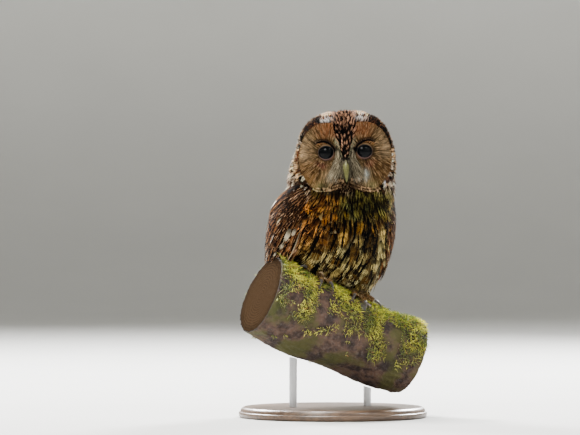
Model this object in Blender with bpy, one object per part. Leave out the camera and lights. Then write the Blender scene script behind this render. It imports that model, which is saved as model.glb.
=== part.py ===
"""Tawny owl, life size, perched on a short cut length of mossy branch held by a display stand.

Row frame: metres, +Z up, origin at the centre of the stand base's underside. The owl's trunk
faces -Y and its left side is +X. The head is turned towards its right. Measures of the owl are
taken from the perch point, which is the top of the branch between its feet.

The trunk, neck and head are one lofted body, parted by two thin cuts. Wings, tail, legs and feet
are fitted into it with a small gap all round.
"""

import math

import bmesh
import bpy
from mathutils import Matrix, Quaternion, Vector

MM = 0.001
GAP = 0.35 * MM  # clearance between pieces that touch

# Stand and perch
PERCH_TOP = 170 * MM  # height of the perch point above the floor
PERCH_SLOPE = math.radians(23.3)  # the branch falls towards the owl's left
PERCH_RADIUS = 53 * MM  # out to the tips of the moss
PERCH_ENDS = (-90 * MM, 134 * MM)  # along the branch, from the perch point
PERCH_BACKSET = -6 * MM  # y of the branch's axis
BASE_RADIUS = 122 * MM
BASE_THICKNESS = 14 * MM
ROD_RADIUS = 5 * MM
ROD_X = (-58 * MM, 46 * MM)

# Body outline: (height above the perch point, half width, front y, back y), from vent to crown
BODY_STATIONS = [
    (-16, 13, 38, 56),
    (-12, 27, 16, 62),
    (-4, 42, -11, 67),
    (8, 55, -33, 70),
    (25, 65, -50, 71),
    (42, 70, -61, 67),
    (62, 71.5, -71, 61),
    (82, 71, -77, 53),
    (102, 69, -80, 45),
    (118, 69, -80, 39),
    (128, 70, -79, 34),
    (136, 70.5, -82, 29),
    (150, 69.5, -84, 21),
    (165, 66.5, -84, 15),
    (177, 63, -84, 12),
    (190, 59.5, -82, 9),
    (200, 56, -79, 5),
    (210, 49, -74, -1),
    (218, 40, -68, -9),
    (224, 25, -59, -21),
]
CROWN = Vector((0, -41, 227)) * MM
RING_POINTS = 40
FRONT_SHARE = 0.62  # of a ring's points, on its front half
BODY_RINGS = 11
HEAD_RINGS = 17
CHIN_HEIGHT = 118 * MM
VENT_HEIGHT = -16 * MM

# Head: the face looks along -Y before it is turned
HEAD_TURN = math.radians(-22)
HEAD_ROLL = math.radians(-2.2)
TURN_FROM, TURN_TO = 94 * MM, 126 * MM  # heights between which the neck takes up the turn
HEAD_AXIS = Vector((0, -35, 172)) * MM
HEAD_SHIFT = 2.3 * MM  # to its left
NAPE_SHIFT = [(98, 0), (114, -2.5), (128, -6.5), (142, -6), (157, -3.5), (176, 0)]  # (height, x)
EYE_X, EYE_HEIGHT = 23.4 * MM, 173 * MM
EYE_RADIUS = 12.5 * MM
EYE_DEPTH = 8.2 * MM  # of the eyeball's centre behind the face
DISC_CENTRE = Vector((24, 168)) * MM  # x and height of each half of the facial disc
DISC_RADII = Vector((35, 45)) * MM

# Cuts between head, neck and trunk: a point on each plane, and their common lean
HEAD_CUT = Vector((0, -28, 130)) * MM
NECK_CUT = Vector((0, -24, 113)) * MM
CUT_LEAN = math.radians(14)

# Folded left wing: spine points from wrist to tip, the outward side there, half width of the
# chord and thickness
WING_STATIONS = [
    ((54, -49, 130), (0.70, -0.68, 0.20), 9, 6),
    ((67, -29, 112), (0.92, -0.35, 0.15), 31, 11),
    ((75, -4, 79), (0.99, 0.0, 0.12), 45, 13),
    ((66, 30, 39), (0.93, 0.36, 0.14), 42, 12),
    ((47, 59, 0), (0.79, 0.60, 0.18), 28, 11),
    ((34, 86, -39), (0.58, 0.77, 0.24), 20, 8),
    ((22, 105, -70), (0.45, 0.84, 0.28), 7, 5),
]
RIGHT_WING_STATIONS = [  # mirrored; drawn in at the shoulder and folded narrower
    ((54, -48, 128), (0.70, -0.68, 0.20), 8, 6),
    ((62, -29, 112), (0.90, -0.38, 0.20), 21, 11),
    ((75, -3, 79), (0.99, 0.0, 0.12), 41, 13),
    ((66, 32, 39), (0.93, 0.36, 0.14), 39, 12),
    ((47, 60, 0), (0.79, 0.60, 0.18), 27, 11),
    ((34, 86, -39), (0.58, 0.77, 0.24), 20, 8),
    ((22, 105, -70), (0.45, 0.84, 0.28), 7, 5),
]
WING_CAMBER_RADIUS = 54 * MM
WING_RINGS = 17
WING_SECTION_POINTS = 14
RIGHT_WING_OPENING = math.radians(7)  # the right wing is held a little off the body

# Tail: root and tip of its middle line, half widths and thicknesses
TAIL_ROOT = Vector((0, 56, 14)) * MM
TAIL_TIP = Vector((0, 112, -90)) * MM
TAIL_HALF_WIDTHS = (23 * MM, 33 * MM)
TAIL_THICKNESSES = (11 * MM, 6 * MM)
TAIL_ARCH = 5 * MM  # how far its edges lie in front of its middle
TAIL_TIP_ROUNDING = 9 * MM

# Legs and feet
FOOT_ALONG = 29 * MM  # from the perch point along the branch
ANKLE_HEIGHT = 15 * MM  # above the branch
LEG_RADII = (8.5 * MM, 13 * MM)  # at the ankle and in the belly
LEG_LENGTH = 34 * MM
# name: direction on the branch (0 is forwards, 90 outwards), length
TOES = {
    "inner": (math.radians(-20), 28 * MM),
    "middle": (math.radians(8), 32 * MM),
    "outer": (math.radians(58), 27 * MM),
    "hind": (math.radians(176), 20 * MM),
}
TOE_RADII = (5.6 * MM, 4.4 * MM)
BELLY_LIFT = 5 * MM  # of the belly feathers off the branch, about to the middle of the toes
CLAW_LENGTH = 15 * MM
CLAW_RADIUS = 2.5 * MM

# Bill: (y, height) of its middle line in the face's own frame, half width, half depth
BILL_STATIONS = [
    ((-80, 157), 5.4, 6.6),
    ((-88, 156), 4.9, 6.4),
    ((-93.5, 152.5), 4.2, 5.6),
    ((-96.5, 147), 3.4, 4.6),
    ((-97, 141.5), 2.5, 3.2),
    ((-95.8, 137), 1.5, 1.7),
    ((-94.4, 133.6), 0.4, 0.5),
]
BILL_SIDES = 12

COLOURS = {
    "feather_brown": ((0.23, 0.13, 0.07), 0.85),
    "feather_wing": ((0.20, 0.10, 0.06), 0.85),
    "feather_face": ((0.33, 0.21, 0.13), 0.9),
    "feather_leg": ((0.45, 0.36, 0.26), 0.9),
    "eye_black": ((0.006, 0.008, 0.010), 0.05),
    "bill_horn": ((0.42, 0.41, 0.22), 0.4),
    "claw_horn": ((0.05, 0.045, 0.04), 0.35),
    "moss_bark": ((0.17, 0.19, 0.05), 0.95),
    "stand_steel": ((0.30, 0.30, 0.31), 0.35),
    "stand_wood": ((0.10, 0.065, 0.045), 0.45),
}


def above_perch(point):
    """A point measured from the perch point, in the row frame."""
    return Vector(point) + Vector((0, 0, PERCH_TOP))


def smoothstep(low, high, value):
    t = min(max((value - low) / (high - low), 0.0), 1.0)
    return t * t * (3 - 2 * t)


def smooth_between(rows, key):
    """The values of rows (key, value, value ...) at key, on a smooth curve through them all."""
    last = len(rows) - 1
    i = min(max(sum(row[0] <= key for row in rows) - 1, 0), last - 1)
    before, low, high, after = (rows[min(max(i + step, 0), last)] for step in (-1, 0, 1, 2))
    t = min(max((key - low[0]) / (high[0] - low[0]), 0.0), 1.0)
    found = []
    for a, b, c, d in zip(before[1:], low[1:], high[1:], after[1:]):
        found.append(
            b
            + 0.5 * t * (c - a)
            + t * t * (a - 2.5 * b + 2 * c - 0.5 * d)
            + t * t * t * 0.5 * (3 * (b - c) + d - a)
        )
    return found


# ---------------------------------------------------------------- Blender helpers


def clear_scene():
    for thing in list(bpy.data.objects):
        bpy.data.objects.remove(thing)


def make_materials():
    made = {}
    for name, (colour, roughness) in COLOURS.items():
        material = bpy.data.materials.new(name)
        material.use_nodes = True
        shader = material.node_tree.nodes["Principled BSDF"]
        shader.inputs["Base Color"].default_value = (*colour, 1)
        shader.inputs["Roughness"].default_value = roughness
        shader.inputs["Metallic"].default_value = 1.0 if name == "stand_steel" else 0.0
        made[name] = material
    return made


def add_object(name, mesh, material=None):
    made = bpy.data.objects.new(name, mesh)
    bpy.context.scene.collection.objects.link(made)
    if material is not None:
        mesh.materials.append(material)
    return made


def loft(name, rings, material=None):
    """A closed mesh through rings of equally many points. A ring of one point is an end's tip."""
    bm = bmesh.new()
    rows = [[bm.verts.new(point) for point in ring] for ring in rings]
    for low, high in zip(rows, rows[1:]):
        count = max(len(low), len(high))
        for i in range(count):
            j = (i + 1) % count
            corners = [low[i % len(low)], low[j % len(low)], high[j % len(high)], high[i % len(high)]]
            bm.faces.new(dict.fromkeys(corners))
    for row in (rows[0], rows[-1]):
        if len(row) > 1:
            bm.faces.new(row)
    bmesh.ops.triangulate(bm, faces=bm.faces)
    bmesh.ops.recalc_face_normals(bm, faces=bm.faces)
    mesh = bpy.data.meshes.new(name)
    bm.to_mesh(mesh)
    bm.free()
    mesh.shade_smooth()
    return add_object(name, mesh, material)


def hide_helper(helper):
    helper.hide_render = True
    helper.display_type = "WIRE"


def grown_copy(piece, by=GAP, suffix="_room"):
    """A helper with the shape of piece, larger by a margin on every side."""
    helper = add_object(piece.name + suffix, piece.data.copy())
    helper.matrix_world = piece.matrix_world.copy()
    grow = helper.modifiers.new("grow", "DISPLACE")
    grow.direction, grow.mid_level, grow.strength = "NORMAL", 0.0, by
    hide_helper(helper)
    return helper


def add_boolean(target, other, operation):
    modifier = target.modifiers.new(operation.lower(), "BOOLEAN")
    modifier.solver, modifier.operation, modifier.object = "EXACT", operation, other


def make_room(target, *rooms):
    for room in rooms:
        add_boolean(target, room, "DIFFERENCE")


def tube(name, points, radii, sides, material=None):
    """A closed round tube along points, with a radius at each. It doesn't twist."""
    rings, last, turn = [], Vector((0, 0, 1)), Quaternion()
    for i, centre in enumerate(points):
        ahead = points[min(i + 1, len(points) - 1)] - points[max(i - 1, 0)]
        turn = last.rotation_difference(ahead) @ turn
        last = ahead
        rings.append(
            [
                centre + turn @ Vector((math.cos(angle), math.sin(angle), 0)) * radii[i]
                for angle in (2 * math.pi * k / sides for k in range(sides))
            ]
        )
    return loft(name, rings, material)


# ---------------------------------------------------------------- head, neck and trunk


def ring_angles():
    """Angles round a body ring from its back, closer together across the face and breast."""
    front = round(RING_POINTS * FRONT_SHARE)
    back = RING_POINTS - front
    over_front = [math.pi / 2 + math.pi * k / front for k in range(front)]
    over_back = [1.5 * math.pi + math.pi * k / back for k in range(back)]
    return over_front + over_back


def face_relief(x, height):
    """How far the face stands forward of a plain rounded head, in metres."""
    across, up = abs(x), height
    ridge = 6.5 * math.exp(-((across / (9 * MM)) ** 2))
    ridge *= smoothstep(136 * MM, 158 * MM, up) * (1 - smoothstep(196 * MM, 218 * MM, up))
    from_eye = ((across - EYE_X) / (17 * MM)) ** 2 + ((up - EYE_HEIGHT) / (22 * MM)) ** 2
    dish = -6.0 * math.exp(-from_eye)
    reach = math.hypot(
        (across - DISC_CENTRE[0]) / DISC_RADII[0], (up - DISC_CENTRE[1]) / DISC_RADII[1]
    )
    rim = 2.4 * math.exp(-(((reach - 1) / 0.12) ** 2)) * smoothstep(6 * MM, 16 * MM, across)
    hollow = -2.2 * (1 - smoothstep(0.55, 0.95, reach))
    return (ridge + dish + rim + hollow) * MM


def body_surface(angle, height):
    """A point of the body's surface: angle 0 is the back, pi the front. Not turned or draped."""
    half_width, front, back = (
        value * MM for value in smooth_between(BODY_STATIONS, height / MM)
    )
    headness = smoothstep(126 * MM, 150 * MM, height)
    widest = front + (0.5 + 0.05 * headness) * (back - front)
    facing = math.cos(angle) < 0
    power = 2 / ((2.15 + 0.75 * headness) if facing else 2.1)
    side, along = math.sin(angle), math.cos(angle)
    x = half_width * math.copysign(abs(side) ** power, side)
    reach = (widest - front) if facing else (back - widest)
    y = widest + reach * math.copysign(abs(along) ** power, along)
    if facing and headness > 0:
        y -= face_relief(x, height) * headness * smoothstep(0.0, 0.45, -along)
    return Vector((x, y, height))


def turned_head(point):
    """Turns and rolls a point of the head, and less and less of the neck, about the head's axis."""
    share = smoothstep(TURN_FROM, TURN_TO, point.z)
    roll = Matrix.Rotation(HEAD_ROLL * share, 3, "Y")
    turn = Matrix.Rotation(HEAD_TURN * share, 3, "Z")
    (nape,) = smooth_between(NAPE_SHIFT, point.z / MM)
    nape *= MM * smoothstep(-74 * MM, -45 * MM, point.y)
    return turn @ (roll @ (point - HEAD_AXIS)) + HEAD_AXIS + Vector((HEAD_SHIFT * share + nape, 0, 0))


def draped(point):
    """Lets the belly's lower edge follow the slope of the branch."""
    share = 1 - smoothstep(0, 55 * MM, point.z)
    return point - Vector((0, 0, math.tan(PERCH_SLOPE) * 0.9 * point.x * share))


def body_point(angle, height):
    return above_perch(draped(turned_head(body_surface(angle, height))))


def body_heights():
    top = BODY_STATIONS[-1][0] * MM
    trunk = [
        VENT_HEIGHT + (CHIN_HEIGHT - VENT_HEIGHT) * (1 - math.cos(math.pi / 2 * k / BODY_RINGS))
        for k in range(BODY_RINGS)
    ]
    head = [
        CHIN_HEIGHT + (top - CHIN_HEIGHT) * math.sin(math.pi / 2 * (k / HEAD_RINGS) ** 0.9)
        for k in range(HEAD_RINGS + 1)
    ]
    return trunk + head


def lofted_body(name, material):
    angles = ring_angles()
    rings = [[body_point(angle, height) for angle in angles] for height in body_heights()]
    rings.append([above_perch(turned_head(CROWN))])
    return loft(name, rings, material)


def keep_between(piece, planes):
    """Cuts piece with planes (point, normal), keeps what each normal points away from, and caps it."""
    bm = bmesh.new()
    bm.from_mesh(piece.data)
    for point, normal in planes:
        everything = bm.verts[:] + bm.edges[:] + bm.faces[:]
        cut = bmesh.ops.bisect_plane(
            bm, geom=everything, plane_co=point, plane_no=normal, clear_outer=True
        )
        edges = [e for e in cut["geom_cut"] if isinstance(e, bmesh.types.BMEdge)]
        bmesh.ops.holes_fill(bm, edges=edges)
    bmesh.ops.recalc_face_normals(bm, faces=bm.faces)
    bm.to_mesh(piece.data)
    bm.free()


def build_body(materials):
    normal = Vector((0, math.sin(-CUT_LEAN), math.cos(CUT_LEAN)))
    upper, lower = above_perch(HEAD_CUT), above_perch(NECK_CUT)
    half_gap = normal * GAP / 2
    head = lofted_body("head", materials["feather_face"])
    keep_between(head, [(upper + half_gap, -normal)])
    neck = lofted_body("neck", materials["feather_brown"])
    keep_between(neck, [(upper - half_gap, normal), (lower + half_gap, -normal)])
    trunk = lofted_body("trunk", materials["feather_brown"])
    keep_between(trunk, [(lower - half_gap, normal)])
    return head, neck, trunk


# ---------------------------------------------------------------- eyes and bill


def build_eyes(materials):
    eyes = []
    for side, name in ((-1, "eye_r"), (1, "eye_l")):
        half_width, front, back = (
            value * MM for value in smooth_between(BODY_STATIONS, EYE_HEIGHT / MM)
        )
        widest = front + 0.55 * (back - front)
        face = widest - (widest - front) * (1 - (EYE_X / half_width) ** 2.9) ** (1 / 2.9)
        face -= face_relief(EYE_X, EYE_HEIGHT)
        centre = Vector((side * EYE_X, face + EYE_DEPTH, EYE_HEIGHT))
        mesh = bpy.data.meshes.new(name)
        bm = bmesh.new()
        bmesh.ops.create_uvsphere(bm, u_segments=12, v_segments=8, radius=EYE_RADIUS)
        bm.to_mesh(mesh)
        bm.free()
        mesh.shade_smooth()
        mesh.transform(Matrix.Translation(above_perch(turned_head(centre))))
        eyes.append(add_object(name, mesh, materials["eye_black"]))
    return eyes


def build_bill(materials):
    rings = []
    for i, ((y, height), half_width, half_depth) in enumerate(BILL_STATIONS):
        before = Vector(BILL_STATIONS[max(i - 1, 0)][0])
        after = Vector(BILL_STATIONS[min(i + 1, len(BILL_STATIONS) - 1)][0])
        along = (after - before).normalized()
        out = Vector((0, along[1], -along[0]))  # square to the middle line, in the face's plane
        centre = Vector((0, y, height)) * MM
        ring = []
        for k in range(BILL_SIDES):
            angle = 2 * math.pi * k / BILL_SIDES
            across = Vector((math.cos(angle) * half_width * MM, 0, 0))
            point = centre + across + out * (math.sin(angle) * half_depth * MM)
            ring.append(above_perch(turned_head(point)))
        rings.append(ring)
    return loft("bill", rings, materials["bill_horn"])


# ---------------------------------------------------------------- wings and tail


def wing_rows(stations):
    """The wing's stations with arc length as the key, in metres."""
    rows, run, last = [], 0.0, None
    for spine, side, half_chord, thickness in stations:
        spine = Vector(spine) * MM
        run += (spine - last).length if last is not None else 0.0
        last = spine
        rows.append((run, *spine, *side, half_chord * MM, thickness * MM))
    return rows


def wing_ring(rows, run, step):
    """A lens-shaped section of the folded wing, bent to lie against the body."""
    x, y, z, *side, half_chord, thickness = smooth_between(rows, run)
    ahead = Vector(smooth_between(rows, run + step)[:3]) - Vector(smooth_between(rows, run - step)[:3])
    out = Vector(side)
    out = (out - out.project(ahead)).normalized()
    chord = out.cross(ahead).normalized()
    ring = []
    for k in range(WING_SECTION_POINTS):
        angle = 2 * math.pi * k / WING_SECTION_POINTS
        across = half_chord * math.cos(angle)
        drop = across * across / (2 * WING_CAMBER_RADIUS)
        height = 0.5 * thickness * math.sin(angle) - drop
        ring.append(above_perch(Vector((x, y, z)) + chord * across + out * height))
    return ring


def wing_end(ring, inner):
    """A point just beyond the middle of an end ring, away from the next one in."""
    middle = sum(ring, Vector()) / len(ring)
    return middle + (middle - sum(inner, Vector()) / len(inner)).normalized() * 4 * MM


def wing_rings(stations):
    """The folded wing's sections from shoulder to tip, closed by a point at each end."""
    rows = wing_rows(stations)
    step = rows[-1][0] / (WING_RINGS - 1)
    rings = [wing_ring(rows, step * k, step / 2) for k in range(WING_RINGS)]
    return [[wing_end(rings[0], rings[1])]] + rings + [[wing_end(rings[-1], rings[-2])]]


def build_wings(materials):
    left = loft("wing_l", wing_rings(WING_STATIONS), materials["feather_wing"])
    opened = Matrix.Rotation(RIGHT_WING_OPENING, 4, "Z")
    mirrored = Matrix.Scale(-1, 4, Vector((1, 0, 0)))
    shoulder = Vector(RIGHT_WING_STATIONS[0][0]) * MM
    pivot = Matrix.Translation((-shoulder.x, shoulder.y, 0))
    pose = pivot @ opened @ pivot.inverted() @ mirrored
    rings = [[pose @ point for point in ring] for ring in wing_rings(RIGHT_WING_STATIONS)]
    right = loft("wing_r", rings, materials["feather_wing"])
    return left, right


def build_tail(materials):
    rings, count, half_side = [], 9, 6
    along = (TAIL_TIP - TAIL_ROOT).normalized()
    out = Vector((0, -along.z, along.y))  # away from the owl's back
    for k in range(count):
        share = k / (count - 1)
        half_width = TAIL_HALF_WIDTHS[0] + (TAIL_HALF_WIDTHS[1] - TAIL_HALF_WIDTHS[0]) * share
        thickness = TAIL_THICKNESSES[0] + (TAIL_THICKNESSES[1] - TAIL_THICKNESSES[0]) * share
        centre = TAIL_ROOT + (TAIL_TIP - TAIL_ROOT) * share
        ring = []
        for side in (1, -1):
            for j in range(half_side + 1):
                across = side * (1 - 2 * j / half_side)
                half = 0.5 * thickness * (1 - 0.75 * across * across)
                arch = -TAIL_ARCH * across * across
                shorter = TAIL_TIP_ROUNDING * across * across * share
                point = centre - along * shorter + out * (arch + side * half)
                ring.append(above_perch(point + Vector((across * half_width, 0, 0))))
        rings.append(ring)
    return loft("tail", rings, materials["feather_wing"])


# ---------------------------------------------------------------- perch, legs and feet


def perch_up():
    """The direction square to the branch and upwards."""
    return Vector((math.sin(PERCH_SLOPE), 0, math.cos(PERCH_SLOPE)))


def perch_axis(along):
    """A point of the branch's middle line. It bows a little, hollow side up."""
    down = Vector((math.cos(PERCH_SLOPE), 0, -math.sin(PERCH_SLOPE)))
    bow = 5 * MM * (along / PERCH_ENDS[1]) ** 2
    centre = Vector((0, PERCH_BACKSET, 0)) - perch_up() * PERCH_RADIUS
    return centre + down * along + perch_up() * bow


def perch_radius(along, around):
    """Radius out to the moss: thicker uphill, and lumpy away from the feet."""
    lumps = 1.4 * math.sin(3 * around + along / (17 * MM)) + 1.1 * math.sin(2 * around - along / (26 * MM))
    calm = smoothstep(45 * MM, 85 * MM, abs(along)) + (1 - math.cos(around)) / 2
    return PERCH_RADIUS - 0.022 * along + lumps * MM * min(calm, 1.0)


def on_perch(along, around, lift):
    """A point this far off the branch: around is 0 at its top, and grows towards the front."""
    out = perch_up() * math.cos(around) + Vector((0, -1, 0)) * math.sin(around)
    return above_perch(perch_axis(along) + out * (perch_radius(along, around) + lift))


def build_perch(materials):
    sides, count = 24, 11
    rings = []
    for k in range(count):
        along = PERCH_ENDS[0] + (PERCH_ENDS[1] - PERCH_ENDS[0]) * k / (count - 1)
        rings.append([on_perch(along, 2 * math.pi * j / sides, 0) for j in range(sides)])
    return loft("perch", rings, materials["moss_bark"])


def toe_point(side, direction, reach, lift):
    """A point on a toe's line, at this distance from the foot's middle over the branch."""
    along = side * (FOOT_ALONG + reach * math.sin(direction))
    around = reach * math.cos(direction) / PERCH_RADIUS
    return on_perch(along, around, lift)


def build_toe(name, side, direction, length):
    count = 5
    points, radii = [], []
    for k in range(count):
        share = k / (count - 1)
        knuckle = 0.35 * MM * math.cos(share * 4 * math.pi)
        radius = TOE_RADII[0] + (TOE_RADII[1] - TOE_RADII[0]) * share + knuckle
        points.append(toe_point(side, direction, length * share, radius + GAP))
        radii.append(radius)
    return tube(name, points, radii, 8)


def build_claw(name, side, direction, toe_length, material):
    """A horn hook that starts a gap beyond its toe and comes down to the branch."""
    count, points, radii = 6, [], []
    for k in range(count):
        share = k / (count - 1)
        reach = toe_length + 1.2 * MM + CLAW_LENGTH * share
        radius = max(CLAW_RADIUS * (1 - share) ** 0.8, 0.35 * MM)
        start = TOE_RADII[1] + 0.6 * MM
        height = start + 2.2 * MM * math.sin(math.pi * share) - (start - 0.8 * MM) * share**1.5
        points.append(toe_point(side, direction, reach, max(height, radius + GAP)))
        radii.append(radius)
    return tube(name, points, radii, 6, material)


def limb_line(side):
    """The middle line and radii of a limb, from under the foot to inside the belly."""
    surface = on_perch(side * FOOT_ALONG, 0, 0)
    up = Vector((0, 0, 1))
    lean = Vector((0, 0.25, 1)).normalized()
    shin = surface + up * (ANKLE_HEIGHT + 3 * MM)
    points = [surface + up * height for height in (-3 * MM, 3 * MM, ANKLE_HEIGHT)] + [shin]
    points += [shin + lean * LEG_LENGTH * k / 3 for k in (1, 2, 3)]
    step = (LEG_RADII[1] - LEG_RADII[0]) / 3
    radii = [9.2 * MM, 9.5 * MM, LEG_RADII[0]] + [LEG_RADII[0] + step * k for k in range(4)]
    return points, radii


def build_limb_room(name, side):
    """The hollow in the belly that a limb stands in."""
    points, radii = limb_line(side)
    top = points[-1] + (points[-1] - points[-2]).normalized() * GAP
    room = tube(name, points[:-1] + [top], [radius + GAP for radius in radii], 14)
    hide_helper(room)
    return room


def build_foot(name, side, perch_room, materials):
    """The feathered toes, joined under a short ankle. Returns the rooms the toes need."""
    points, radii = limb_line(side)
    foot = tube(name, points[:3], radii[:3], 14, materials["feather_leg"])
    rooms = []
    for toe, (direction, length) in TOES.items():
        part = build_toe(f"{name}_{toe}", side, direction, length)
        rooms.append(grown_copy(part))
        hide_helper(part)
        add_boolean(foot, part, "UNION")
    make_room(foot, perch_room)
    return rooms


def build_leg(name, side, materials):
    points, radii = limb_line(side)
    start = points[2] + Vector((0, 0, GAP))
    return tube(name, [start] + points[3:], radii[2:], 14, materials["feather_leg"])


def build_stand(perch_room, materials):
    edge = 1.5 * MM
    profile = [
        (BASE_RADIUS - edge, 0),
        (BASE_RADIUS, edge),
        (BASE_RADIUS, BASE_THICKNESS - edge),
        (BASE_RADIUS - edge, BASE_THICKNESS),
    ]
    sides = 40
    rings = [
        [
            Vector((radius * math.cos(angle), radius * math.sin(angle), height))
            for angle in (2 * math.pi * k / sides for k in range(sides))
        ]
        for radius, height in profile
    ]
    base = loft("stand_base", rings, materials["stand_wood"])
    base.data.set_sharp_from_angle(angle=math.radians(30))
    for number, x in enumerate(ROD_X, start=1):
        along = (x + PERCH_RADIUS * math.sin(PERCH_SLOPE)) / math.cos(PERCH_SLOPE)
        top = above_perch(perch_axis(along)).z
        ends = [Vector((x, PERCH_BACKSET, height)) for height in (BASE_THICKNESS + GAP, top)]
        rod = tube(f"stand_rod_{number}", ends, [ROD_RADIUS] * 2, 16, materials["stand_steel"])
        rod.data.set_sharp_from_angle(angle=math.radians(30))
        make_room(rod, perch_room)


def main():
    clear_scene()
    materials = make_materials()
    perch = build_perch(materials)
    perch_room = grown_copy(perch)
    build_stand(perch_room, materials)
    head, neck, trunk = build_body(materials)
    bill = build_bill(materials)
    wings = build_wings(materials)
    tail = build_tail(materials)
    make_room(head, grown_copy(bill), *map(grown_copy, build_eyes(materials)))
    wing_rooms = [grown_copy(wing) for wing in wings]
    tail_room = grown_copy(tail)
    make_room(head, *wing_rooms)
    make_room(neck, *wing_rooms)
    make_room(trunk, *wing_rooms, tail_room, grown_copy(perch, BELLY_LIFT, "_below_belly"))
    for wing in wings:
        make_room(wing, tail_room, perch_room)
    for side, letter in ((-1, "r"), (1, "l")):
        build_leg(f"leg_{letter}", side, materials)
        toe_rooms = build_foot(f"foot_{letter}", side, perch_room, materials)
        make_room(trunk, build_limb_room(f"limb_{letter}_room", side), *toe_rooms)
        for toe, (direction, length) in TOES.items():
            name = f"claw_{letter}_{toe}"
            claw = build_claw(name, side, direction, length, materials["claw_horn"])
            make_room(trunk, grown_copy(claw))


main()
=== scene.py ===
"""Looks of a tawny owl on a mossy branch: skin, feathers, eyes, bill, claws, branch and stand.

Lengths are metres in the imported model's frame; "N * MM" is N millimetres. The perch point is the
top of the branch between the feet, and tables of places are in millimetres from it. In the face
frame the head is unturned: the face looks along -Y and x grows towards the owl's left.
"""

import math

import bmesh
import bpy
import numpy as np
from mathutils import Matrix, Vector, noise
from mathutils.bvhtree import BVHTree


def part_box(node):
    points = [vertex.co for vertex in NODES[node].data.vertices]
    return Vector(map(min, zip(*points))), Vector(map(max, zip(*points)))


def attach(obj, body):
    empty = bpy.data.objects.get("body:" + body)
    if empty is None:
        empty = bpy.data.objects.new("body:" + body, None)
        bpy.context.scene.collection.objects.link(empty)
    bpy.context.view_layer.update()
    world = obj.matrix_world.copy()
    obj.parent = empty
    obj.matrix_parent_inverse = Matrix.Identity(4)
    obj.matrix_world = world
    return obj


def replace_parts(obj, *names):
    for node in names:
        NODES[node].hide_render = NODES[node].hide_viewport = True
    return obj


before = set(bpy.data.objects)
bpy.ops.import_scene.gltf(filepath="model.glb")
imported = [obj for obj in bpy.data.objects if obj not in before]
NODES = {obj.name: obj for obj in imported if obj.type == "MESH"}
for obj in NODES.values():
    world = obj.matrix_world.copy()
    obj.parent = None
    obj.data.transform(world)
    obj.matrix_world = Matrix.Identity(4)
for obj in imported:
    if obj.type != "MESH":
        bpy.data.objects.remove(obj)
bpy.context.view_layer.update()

MM = 0.001
RNG = np.random.default_rng(11)
PERCH_POINT = np.array([0.0, 0.0, 0.170])

# Camera and framing
VIEW_AZIMUTH = math.radians(-22)
VIEW_DISTANCE = 5.0
VIEW_SPAN = 0.7525  # width of the view at the owl
VIEW_AIM = (-0.0515, 0.0208, 0.259)
LIGHTS_AIM = Vector((0, 0, 0.28))

# The turned head, as in the solids
HEAD_TURN = math.radians(-22)
HEAD_ROLL = math.radians(-2.2)
HEAD_AXIS = np.array([0, -35, 172]) * MM
HEAD_SHIFT = np.array([2.3, 0, 0]) * MM
EYE = np.array([23.4, 173.0])  # x and height of the left eye, mm
EYE_RADIUS = 12.5 * MM
DISC_CENTRE = np.array([24.0, 168.0])
DISC_RADII = np.array([33.5, 45.0])
DISC_TOP_RADIUS = 40.5
BROW_SHIFT = (6.0, -3.2)  # from the eye to the middle of the dark line's arc over it
BROW_RADIUS = 17.0
BALL_EDGE = 11.8  # from the eye's middle, just inside the eyeball's outline
AHEAD = -86.0  # y of a plane in front of the face

# The perch, as in the solids
PERCH_SLOPE = math.radians(23.3)
PERCH_RADIUS = 53 * MM
PERCH_ENDS = (-90 * MM, 134 * MM)
PERCH_BACKSET = -6 * MM

# Folded wings, wrist to tip: spine, outward side, half chord, thickness (mm)
LEFT_WING_STATIONS = [
    ((54, -49, 130), (0.70, -0.68, 0.20), 9, 6),
    ((67, -29, 112), (0.92, -0.35, 0.15), 31, 11),
    ((75, -4, 79), (0.99, 0.0, 0.12), 45, 13),
    ((66, 30, 39), (0.93, 0.36, 0.14), 42, 12),
    ((47, 59, 0), (0.79, 0.60, 0.18), 28, 11),
    ((34, 86, -39), (0.58, 0.77, 0.24), 20, 8),
    ((22, 105, -70), (0.45, 0.84, 0.28), 7, 5),
]
RIGHT_WING_STATIONS = [
    ((54, -48, 128), (0.70, -0.68, 0.20), 8, 6),
    ((62, -29, 112), (0.90, -0.38, 0.20), 21, 11),
    ((75, -3, 79), (0.99, 0.0, 0.12), 41, 13),
    ((66, 32, 39), (0.93, 0.36, 0.14), 39, 12),
    ((47, 60, 0), (0.79, 0.60, 0.18), 27, 11),
    *LEFT_WING_STATIONS[5:],
]
WING_CAMBER_RADIUS = 54 * MM
RIGHT_WING_OPENING = math.radians(7)

# Tail, as in the solids
TAIL_ROOT = np.array([0, 56, 14]) * MM
TAIL_TIP = np.array([0, 112, -90]) * MM
TAIL_HALF_WIDTHS = (23 * MM, 33 * MM)
TAIL_THICKNESSES = (11 * MM, 6 * MM)
TAIL_ARCH = 5 * MM

FOOT_ALONG = 29 * MM  # from the perch point along the branch

VOXEL = 2.4 * MM
CLEFT = 6.5 * MM  # half the width of the clefts filled beside the wings
SKIN_SHARE = 0.3  # of the body's thickness, at most, between the skin and the outer surface
WELDED = 0.01 * MM
STRANDS_IN_LINE = 3
BLADES_IN_SPRIG = 4

# The flesh solids, by part
LIMBS = ["leg_l", "leg_r", "foot_l", "foot_r"]
PARTS = [["head", "neck", "trunk"], ["wing_l", "wing_r"], ["tail"], LIMBS]
BODY, WINGS, TAIL, LEGS = range(4)


# ---------------------------------------------------------------- small maths


def srgb(red, green, blue):
    """A colour as linear light, from the usual 0 to 255 values."""
    value = np.array([red, green, blue]) / 255.0
    return np.where(value <= 0.04045, value / 12.92, ((value + 0.055) / 1.055) ** 2.4)


def unit(vectors):
    return vectors / np.maximum(np.linalg.norm(vectors, axis=-1, keepdims=True), 1e-12)


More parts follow.
